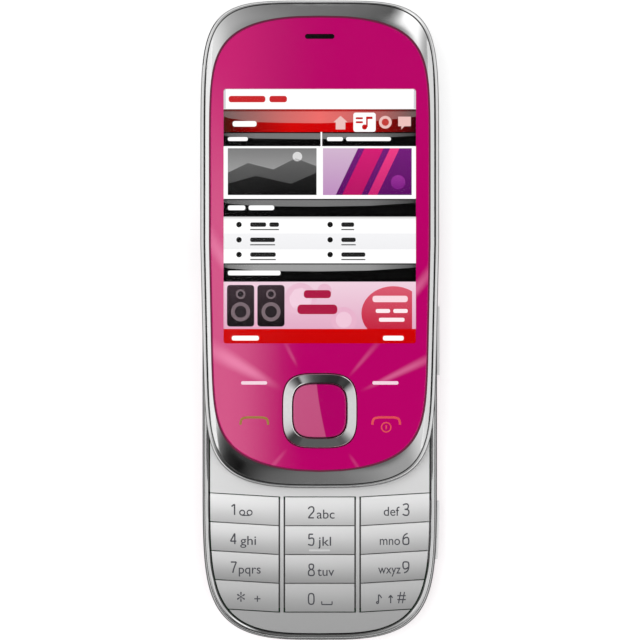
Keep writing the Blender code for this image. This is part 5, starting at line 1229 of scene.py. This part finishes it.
# Bars in place of words: left end, middle, widths, height, level and colour
WORD_GAP = 4
WORD_CORNER_SHARE = 0.8
WORDS = (
    (6, 12, (46,), 8, 1, (196, 40, 44)), (57, 12, (22,), 8, 1, (196, 40, 44)),
    (11, 43, (30,), 7, 3, WHITE), (165, 36, (9,), 2.4, 4, RED), (165, 41, (9,), 2.4, 4, RED),
    (5, 62, (25,), 5, 3, WHITE), (129, 62, (20, 56), 5, 3, WHITE), (5, 148, (22, 32), 6, 3, WHITE),
    (5, 229.5, (66,), 6, 3, WHITE), (10, 311, (34,), 6, 2, WHITE), (199, 311, (26,), 6, 2, WHITE),
    (100, 256, (34,), 10, 4, MAGENTA), (92, 275, (50,), 12, 4, MAGENTA),
    (186, 262, (44,), 8, 5, (246, 214, 222)), (190, 277, (18, 18), 5, 5, BLUSH),
    (194, 288, (32,), 5, 5, BLUSH),
)
# Middle, radius, level, colour: the note's head, the round sign and the small pictures' discs
DISCS = (
    (176, 47, 3.2, 4, RED), (202, 41, 8, 3, SOFT_RED), (202, 41, 4.5, 4, (190, 60, 56)),
    (92, 84, 6, 2, (214, 214, 214)), (218, 116, 9, 3, (150, 50, 150), (120, 30, 126)),
)
# Points, level, colour: the house, the speech sign, the grey dunes and the bands of purple and magenta
SHAPES = (
    (((146, 33), (155, 41), (152, 41), (152, 50), (140, 50), (140, 41), (137, 41)), 3, SOFT_RED),
    (((218, 34), (234, 34), (234, 46), (226, 46), (222, 50), (222, 46), (218, 46)), 3, SOFT_RED),
    (
        ((5, 104), (30, 92), (62, 100), (90, 86), (116, 96), (116, 132), (5, 132)),
        2, (96, 96, 96), (60, 60, 60),
    ),
    (((5, 118), (40, 108), (84, 118), (116, 104), (116, 132), (5, 132)), 3, (34, 34, 34), (14, 14, 14)),
    (((124, 73.5), (168, 73.5), (140, 132), (124, 132)), 2, (206, 178, 204), (186, 140, 188)),
    (((176, 73.5), (200, 73.5), (172, 132), (148, 132)), 2, (206, 30, 112), (178, 20, 96)),
    (((208, 73.5), (220, 73.5), (192, 132), (180, 132)), 2, (232, 60, 130), (196, 36, 110)),
)
# Middle, half width, half length and corner of rounded forms: the sign's tab and the two loudspeakers
PANELS = (
    ((176, 41), 14, 12, 3, 3, WHITE),
    ((21, 270.5), 17, 26, 4, 3, (58, 46, 52), (20, 16, 18)),
    ((59, 270.5), 17, 26, 4, 3, (58, 46, 52), (20, 16, 18)),
)
CONES = ((21, 256, 6), (21, 278, 12), (59, 256, 6), (59, 278, 12))
# Size, level and colour of a loudspeaker's cone and of the disc in its middle
CONE_SHARES = ((1, 4, (120, 104, 110)), (0.62, 5, (40, 34, 38)))
# Soft rings behind the banner's words, and its round badge: middle, radii, points, level, colours
BANNER_ROUNDS = (
    (96, 262, 20, 20, 32, 2, (230, 186, 206)), (96, 262, 14, 14, 32, 2, (238, 204, 220)),
    (150, 288, 16, 16, 32, 2, (228, 176, 200)), (150, 288, 10, 10, 32, 3, (236, 196, 214)),
    (126, 252, 9, 9, 32, 3, (228, 180, 202)), (212, 280, 40, 34, 40, 4, (214, 92, 112), (190, 36, 62)),
)
LIST_ROWS = (170, 189, 207.5)
LIST_WORDS = (((20, 12), (16,)), ((31,), (18,)), ((32,), (30,)))
LIST_BULLETS = (19, 133)
BULLET_RADIUS = 3.4
# Level and colour of the list's bullets and words
BULLET_LOOK = (2, (20, 20, 20))
LIST_LOOK = (2, INK)
BULLET_TO_WORD = 14
LIST_WORD_HEIGHT = 5.5
UNDERLINE = (4.6, 5.9)


class Picture:
    """Flat shapes that lie on each other, each with its own colour, gathered into one mesh."""

    def __init__(self):
        self.shape = bmesh.new()
        self.tone = self.shape.loops.layers.float_color.new("tone")

    def draw(self, points, level, colour, lower=None):
        """A shape in dots from the screen's upper left; a second colour is reached at its lower edge."""
        ys = [y for _, y in points]
        span = max(max(ys) - min(ys), WELD)
        height = SCREEN_LEVEL + level * LEVEL_STEP
        foot = SCREEN_LOW + DOTS_DOWN * DOT
        places = [(x * DOT - SCREEN_HALF_WIDTH, foot - y * DOT, height) for x, y in points]
        face = self.shape.faces.new([self.shape.verts.new(place) for place in places])
        for loop, y in zip(face.loops, ys):
            share = (y - min(ys)) / span
            loop[self.tone] = ink(*[a + share * (b - a) for a, b in zip(colour, lower or colour)])
        return face

    def bar(self, left, top, right, bottom, *look):
        self.draw([(left, top), (right, top), (right, bottom), (left, bottom)], *look)

    def disc(self, x, y, radius, *look):
        self.draw(ring_points(x, y, radius, radius, DISC_STEPS), *look)

    def panel(self, middle, half_width, half_length, corner, *look):
        self.draw(rounded_rectangle(middle, half_width, half_length, corner), *look)

    def columns(self, stops, top, level):
        """A band whose lower edge and colour change across, from stop to stop."""
        for (left, low, first), (right, high, second) in zip(stops, stops[1:]):
            face = self.draw([(left, top), (right, top), (right, high), (left, low)], level, first)
            for loop, colour in zip(face.loops, (first, second, second, first)):
                loop[self.tone] = ink(*colour)

    def words(self, left, middle, widths, height, *look):
        """Rounded bars in place of words."""
        for width in widths:
            half = height / 2
            corner = min(half, width / 2) * WORD_CORNER_SHARE
            self.panel((left + width / 2, middle), width / 2, half, corner, *look)
            left += width + WORD_GAP


def blended(stops, x):
    """The colour of a row of stops at a place between them."""
    for (left, first), (right, second) in zip(stops, stops[1:]):
        if x <= right:
            return tuple(a + (x - left) / (right - left) * (b - a) for a, b in zip(first, second))


def header(picture):
    """The red header, whose shine ends in a curve."""
    for stops, (top, bottom) in ((HEADER_LINE, HEADER_LINE_ROWS), (HEADER_LOWER, HEADER_LOWER_ROWS)):
        picture.columns([(x, bottom, colour) for x, colour in stops], top, 1)
    top, edge, depth = HEADER_SHINE
    shine = [(x, edge + depth * deep, blended(HEADER_UPPER, x)) for x, deep, _ in SHINE_SHARES]
    picture.columns(shine, top, 2)


def title_bars(picture):
    """Black title bars with a grey shine on top that ends in a curve."""
    for top, bottom, depth, shine in TITLE_BARS:
        picture.bar(0, top, DOTS_ACROSS, bottom, 1, BLACK)
        line = top + SHINE_START
        stops = [(x, line + deep * depth, (shine * bright,) * 3) for x, deep, bright in SHINE_SHARES]
        picture.columns(stops, line, 2)


def word_list(picture):
    """Bullets and underlined bars in place of the list's words."""
    for row, words in zip(LIST_ROWS, LIST_WORDS):
        for bullet, widths in zip(LIST_BULLETS, words):
            left = bullet + BULLET_TO_WORD
            right = left + sum(widths) + WORD_GAP * (len(widths) - 1)
            picture.disc(bullet, row - 1, BULLET_RADIUS, *BULLET_LOOK)
            picture.words(left, row - 1, widths, LIST_WORD_HEIGHT, *LIST_LOOK)
            picture.bar(left, row + UNDERLINE[0], right, row + UNDERLINE[1], *LIST_LOOK)


def banner_rounds(picture):
    """Round forms that end at the banner's edges."""
    low, high = BANNER_ROWS
    for x, y, radius_x, radius_y, count, *look in BANNER_ROUNDS:
        points = ring_points(x, y, radius_x, radius_y, count)
        picture.draw([(px, min(max(py, low), high)) for px, py in points if px <= DOTS_ACROSS], *look)


def screen_picture():
    picture = Picture()
    header(picture)
    title_bars(picture)
    word_list(picture)
    banner_rounds(picture)
    for draw, rows in (
        (picture.bar, BARS), (picture.words, WORDS), (picture.disc, DISCS), (picture.draw, SHAPES),
        (picture.panel, PANELS),
    ):
        for row in rows:
            draw(*row)
    for x, y, radius in CONES:
        for share, *look in CONE_SHARES:
            picture.disc(x, y, share * radius, *look)
    for face in picture.shape.faces:
        face.normal_update()
        if face.normal.z < 0:
            face.normal_flip()
    mesh = bpy.data.meshes.new("lit_picture")
    picture.shape.to_mesh(mesh)
    picture.shape.free()
    piece("lit_picture", mesh, LIT_SCREEN, "display")


# Other nodes keep their shape and take a finish

FINISHES = {
    SIDE_KEY: ("volume_key", "camera_key"),
    BRIGHT_CHROME: ("camera_ring",),
    BLACK_GLOSS: ("headset_jack", "charging_socket", "battery_connector", "earpiece"),
    DARK_PLASTIC: ("rear_frame", "camera_module", "loudspeaker", "nav_pad", "volume_switch", "camera_switch"),
    RUBBER: ("keypad_mat", "ui_keymat"),
    BOARD_GREEN: ("main_board", "ui_board"),
    STEEL: (
        "slide_fixed_plate", "slide_moving_plate", "board_shield",
        "sim_holder", "memory_card_slot", "usb_socket",
        "dome_sheet", "vibration_motor", "motor_weight", "microphone",
    ),
    SPRING_STEEL: ("screw_upper_left", "screw_upper_right", "screw_lower_left", "screw_lower_right"),
    BATTERY_SKIN: ("battery",),
    FLEX_FILM: ("touch_film",),
    LCD_BACK: ("lcd_module",),
    CLEAR: ("camera_lens",),
}


def finish_nodes():
    for material, names in FINISHES.items():
        for name in names:
            made = frame["nodes"][name]
            smoothed(dressed(made.data, material))
            evened(made)
    dressed(frame["nodes"]["earpiece_grille"].data, BLACK_GLOSS)


def bending():
    """The bow spring and the ribbon: finished copies of their meshes stand in for the imported ones."""
    low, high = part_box("slide_spring")
    middle = (low.z + high.z) / 2
    for name, material, start, end in (
        ("slide_spring", SPRING_STEEL, (high.x, low.y, middle), (low.x, high.y, middle)),
        ("display_flex", FLEX_FILM, (0, 0, middle - FIT_GAP), (0, 0, middle + FIT_GAP)),
    ):
        mesh = dressed(frame["nodes"][name].data.copy(), material)
        made = linked(f"{name}_bending", smoothed(mesh))
        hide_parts(name)
        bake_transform(made)
        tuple(start)
        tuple(end)


# Studio

FLOOR_HALF = 4
FLOOR_ROUGHNESS = 0.9
CAMERA_PLACE = (0.00005, 0.0005, 0.4225)
CAMERA_CLIP = (0.01, 20)
LENS = 115.1
SENSOR = 36
CARD_HEIGHT = 0.7
CARD_HALF = 0.36
CARD_SCALE = 2.68
CARD_PITCH = 0.01
DOME_RADIUS = 1.3
DOME_TURNS = 72
DOME_ROWS = 16
# Brightness of the studio's wall round the phone: direction in degrees from +X, and level
WALL = (
    (0, 0.95), (14, 1.0), (25, 0.6), (33, 0.7), (44, 1.4), (58, 1.6), (66, 1.4), (71, 0.34), (75, 0.12),
    (90, 0.21), (104, 0.38), (115, 0.5), (125, 0.6), (137, 0.8), (150, 1.0), (180, 0.95), (196, 0.9),
    (206, 0.2), (222, 0.03), (240, 0.005), (250, 0.06), (258, 0.14), (270, 0.2), (290, 0.42), (312, 0.45),
    (326, 0.74), (340, 1.0), (360, 0.95),
)
# The same for the wall's upper part, and the heights between which it takes over
HIGH_WALL = (
    (0, 0.9), (20, 0.7), (42, 0.3), (60, 0.2), (75, 0.06), (100, 0.22), (130, 0.55), (150, 0.75),
    (180, 0.9), (205, 0.6), (225, 0.07), (250, 0.06), (290, 0.12), (318, 0.3), (340, 0.7), (360, 0.9),
)
HIGH_WALL_RISE = (math.radians(34), math.radians(44))
# Corners of a dark card that lies on the floor beside the display's upper left corner
DARK_CARD = ((-0.0222, 0.0528), (-0.0186, 0.0602), (-0.037, 0.0766), (-0.0459, 0.0566))
DARK_CARD_HEIGHT = 0.0005
# Brightness of the card's sides, which the navigation ring mirrors: direction from the ring, and level
RING_GLOW = (
    (-180, 0.85), (-160, 0.6), (-145, 0.1), (-135, 0.05), (-115, 0.07), (-90, 0.07), (-60, 0.12),
    (-45, 0.28), (-25, 0.72), (0, 0.78), (20, 0.7), (33, 0.25), (42, 0.04), (60, 0.06), (90, 0.03),
    (115, 0.05), (128, 0.2), (138, 0.4), (152, 0.75), (180, 0.85),
)
# The card's light by the place that mirrors it: levels, and the lengths between which they change
CARD_LEFT_LEVEL = 2.5
CARD_LEFT_EDGE = (-0.005, -0.018)
CARD_TOP_LEVELS = (0.03, 0.43, 0.6)
CARD_TOP_EDGE = (0.003, -0.021)
CARD_CORNER_EDGE = (-0.017, -0.021)
CARD_CORNER_END = (0.042, 0.052)
CARD_TOP_START = (0.02, 0.048)
CARD_FOOT_LEVEL = 0.12
CARD_FOOT_EDGE = (-0.034, -0.045)
CARD_SIDE_EDGE = (0.0225, 0.028)
# Distances over which the floor's light rises, and its levels there
FLOOR_GLOW = (0.15, 0.6, 0.5, 1)
WORLD_LEVEL = 0.55
LAMP_SIZE = 0.6
LAMPS = {"key_lamp": ((-0.25, 0.12, 1.0), 5.0), "fill_lamp": ((0.5, -0.3, 0.9), 2.4)}


def smooth_step(low, high, value):
    share = min(max((value - low) / (high - low), 0), 1)
    return share * share * (3 - 2 * share)


def card_level(x, y):
    """Light of the card at the place that the face mirrors: a soft bright side on the left."""
    x /= CARD_SCALE
    y /= CARD_SCALE
    left = CARD_LEFT_LEVEL * smooth_step(*CARD_LEFT_EDGE, x)
    corner = smooth_step(*CARD_CORNER_EDGE, x) * (1 - smooth_step(*CARD_CORNER_END, y))
    least, more, most = CARD_TOP_LEVELS
    top = least + more * smooth_step(*CARD_TOP_EDGE, x) + most * corner
    level = left + smooth_step(*CARD_TOP_START, y) * (top - left)
    level += smooth_step(*CARD_FOOT_EDGE, y) * (CARD_FOOT_LEVEL - level)
    side = from_table(RING_GLOW, math.degrees(math.atan2(y - DISPLAY_Y - NAV_Y, x)))
    return level + smooth_step(*CARD_SIDE_EDGE, abs(x)) * (side - level)


def studio_mesh(name, points, faces, levels):
    """A lit surface that only metal and gloss show."""
    mesh = bpy.data.meshes.new(name)
    mesh.from_pydata(points, [], faces)
    layer = mesh.color_attributes.new("tone", "FLOAT_COLOR", "POINT")
    for entry, level in zip(layer.data, levels):
        entry.color = (level, level, level, 1)
    mesh.materials.append(lit(name, 1))
    made = linked(name, mesh)
    made.visible_camera = False
    made.visible_diffuse = False
    made.visible_shadow = False
    made.visible_transmission = False


def overhead_card():
    count = round(2 * CARD_HALF / CARD_PITCH) + 1
    places = [step * CARD_PITCH - CARD_HALF for step in range(count)]
    points = [(x, y, CARD_HEIGHT) for y in places for x in places]
    corners = [row * count + column for row in range(1, count) for column in range(1, count)]
    faces = [(corner, corner - 1, corner - count - 1, corner - count) for corner in corners]
    studio_mesh("overhead_card", points, faces, [card_level(x, y) for x, y, _ in points])


def studio_wall():
    points = []
    levels = []
    faces = []
    for row in range(DOME_ROWS + 1):
        rise = math.pi / 2 * row / (DOME_ROWS + 1)
        below = (row - 1) * DOME_TURNS
        here = row * DOME_TURNS
        out = DOME_RADIUS * math.cos(rise)
        for turn in range(DOME_TURNS):
            angle = math.tau * turn / DOME_TURNS
            points.append((out * math.cos(angle), out * math.sin(angle), DOME_RADIUS * math.sin(rise)))
            wall, high = (from_table(table, math.degrees(angle)) for table in (WALL, HIGH_WALL))
            levels.append(wall + smooth_step(*HIGH_WALL_RISE, rise) * (high - wall))
            if row:
                after = (turn + 1) % DOME_TURNS
                faces.append((below + turn, below + after, here + after, here + turn))
    studio_mesh("studio_wall", points, faces, levels)


def dark_card():
    points = [(x, y, DARK_CARD_HEIGHT) for x, y in DARK_CARD]
    studio_mesh("dark_card", points, [range(len(points))], [0] * len(points))


def seen_directly(owner):
    """1 for the camera, and for what metal and glass show."""
    path = node(owner, "ShaderNodeLightPath")
    total = path.outputs["Is Camera Ray"]
    for name in ("Is Glossy Ray", "Is Transmission Ray"):
        total = sum_of(owner, "MAXIMUM", total, path.outputs[name])
    return total


def floor():
    mesh = bpy.data.meshes.new("floor")
    far = FLOOR_HALF
    mesh.from_pydata([(-far, -far, 0), (far, -far, 0), (far, far, 0), (-far, far, 0)], [], [(0, 1, 2, 3)])
    material = blank("floor", grey(200), FLOOR_ROUGHNESS, Specular_IOR_Level=0, Emission_Color=(1, 1, 1, 1))
    away = node(material, "ShaderNodeVectorMath", operation="LENGTH")
    feed(material, away.inputs[0], object_place(material))
    level = ramped(material, away.outputs["Value"], *FLOOR_GLOW)
    give(material, "Emission Strength", sum_of(material, "MULTIPLY", seen_directly(material), level))
    mesh.materials.append(material)
    linked("floor", mesh)


def world():
    made = bpy.data.worlds.new("studio")
    bpy.context.scene.world = made
    made.use_nodes = True
    background = made.node_tree.nodes["Background"]
    feed(made, background.inputs["Color"], (1, 1, 1, 1))
    feed(made, background.inputs["Strength"], ramped(made, seen_directly(made), 0, 1, WORLD_LEVEL, 1))


def lamps():
    """Square lamps that aim at the middle of the phone."""
    for name, (place, power) in LAMPS.items():
        light = bpy.data.lights.new(name, "AREA")
        light.shape = "SQUARE"
        light.size = LAMP_SIZE
        light.energy = power
        made = linked(name, light)
        made.location = place
        made.rotation_euler = (-Vector(place)).to_track_quat("-Z", "Y").to_euler()
        made.visible_glossy = False
        made.visible_transmission = False


def camera():
    made = bpy.data.cameras.new("camera")
    made.lens = LENS
    made.sensor_width = SENSOR
    made.clip_start, made.clip_end = CAMERA_CLIP
    holder = linked("camera", made)
    holder.location = CAMERA_PLACE
    bpy.context.scene.camera = holder


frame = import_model()
bpy.context.scene.view_settings.view_transform = "Standard"
covers()
base_band()
keypad_deck()
key_caps()
legends()
key_signs()
display_tray()
bezel_skin()
face_skin()
navigation()
face_signs()
screen_picture()
finish_nodes()
bending()
floor()
world()
overhead_card()
studio_wall()
dark_card()
lamps()
camera()
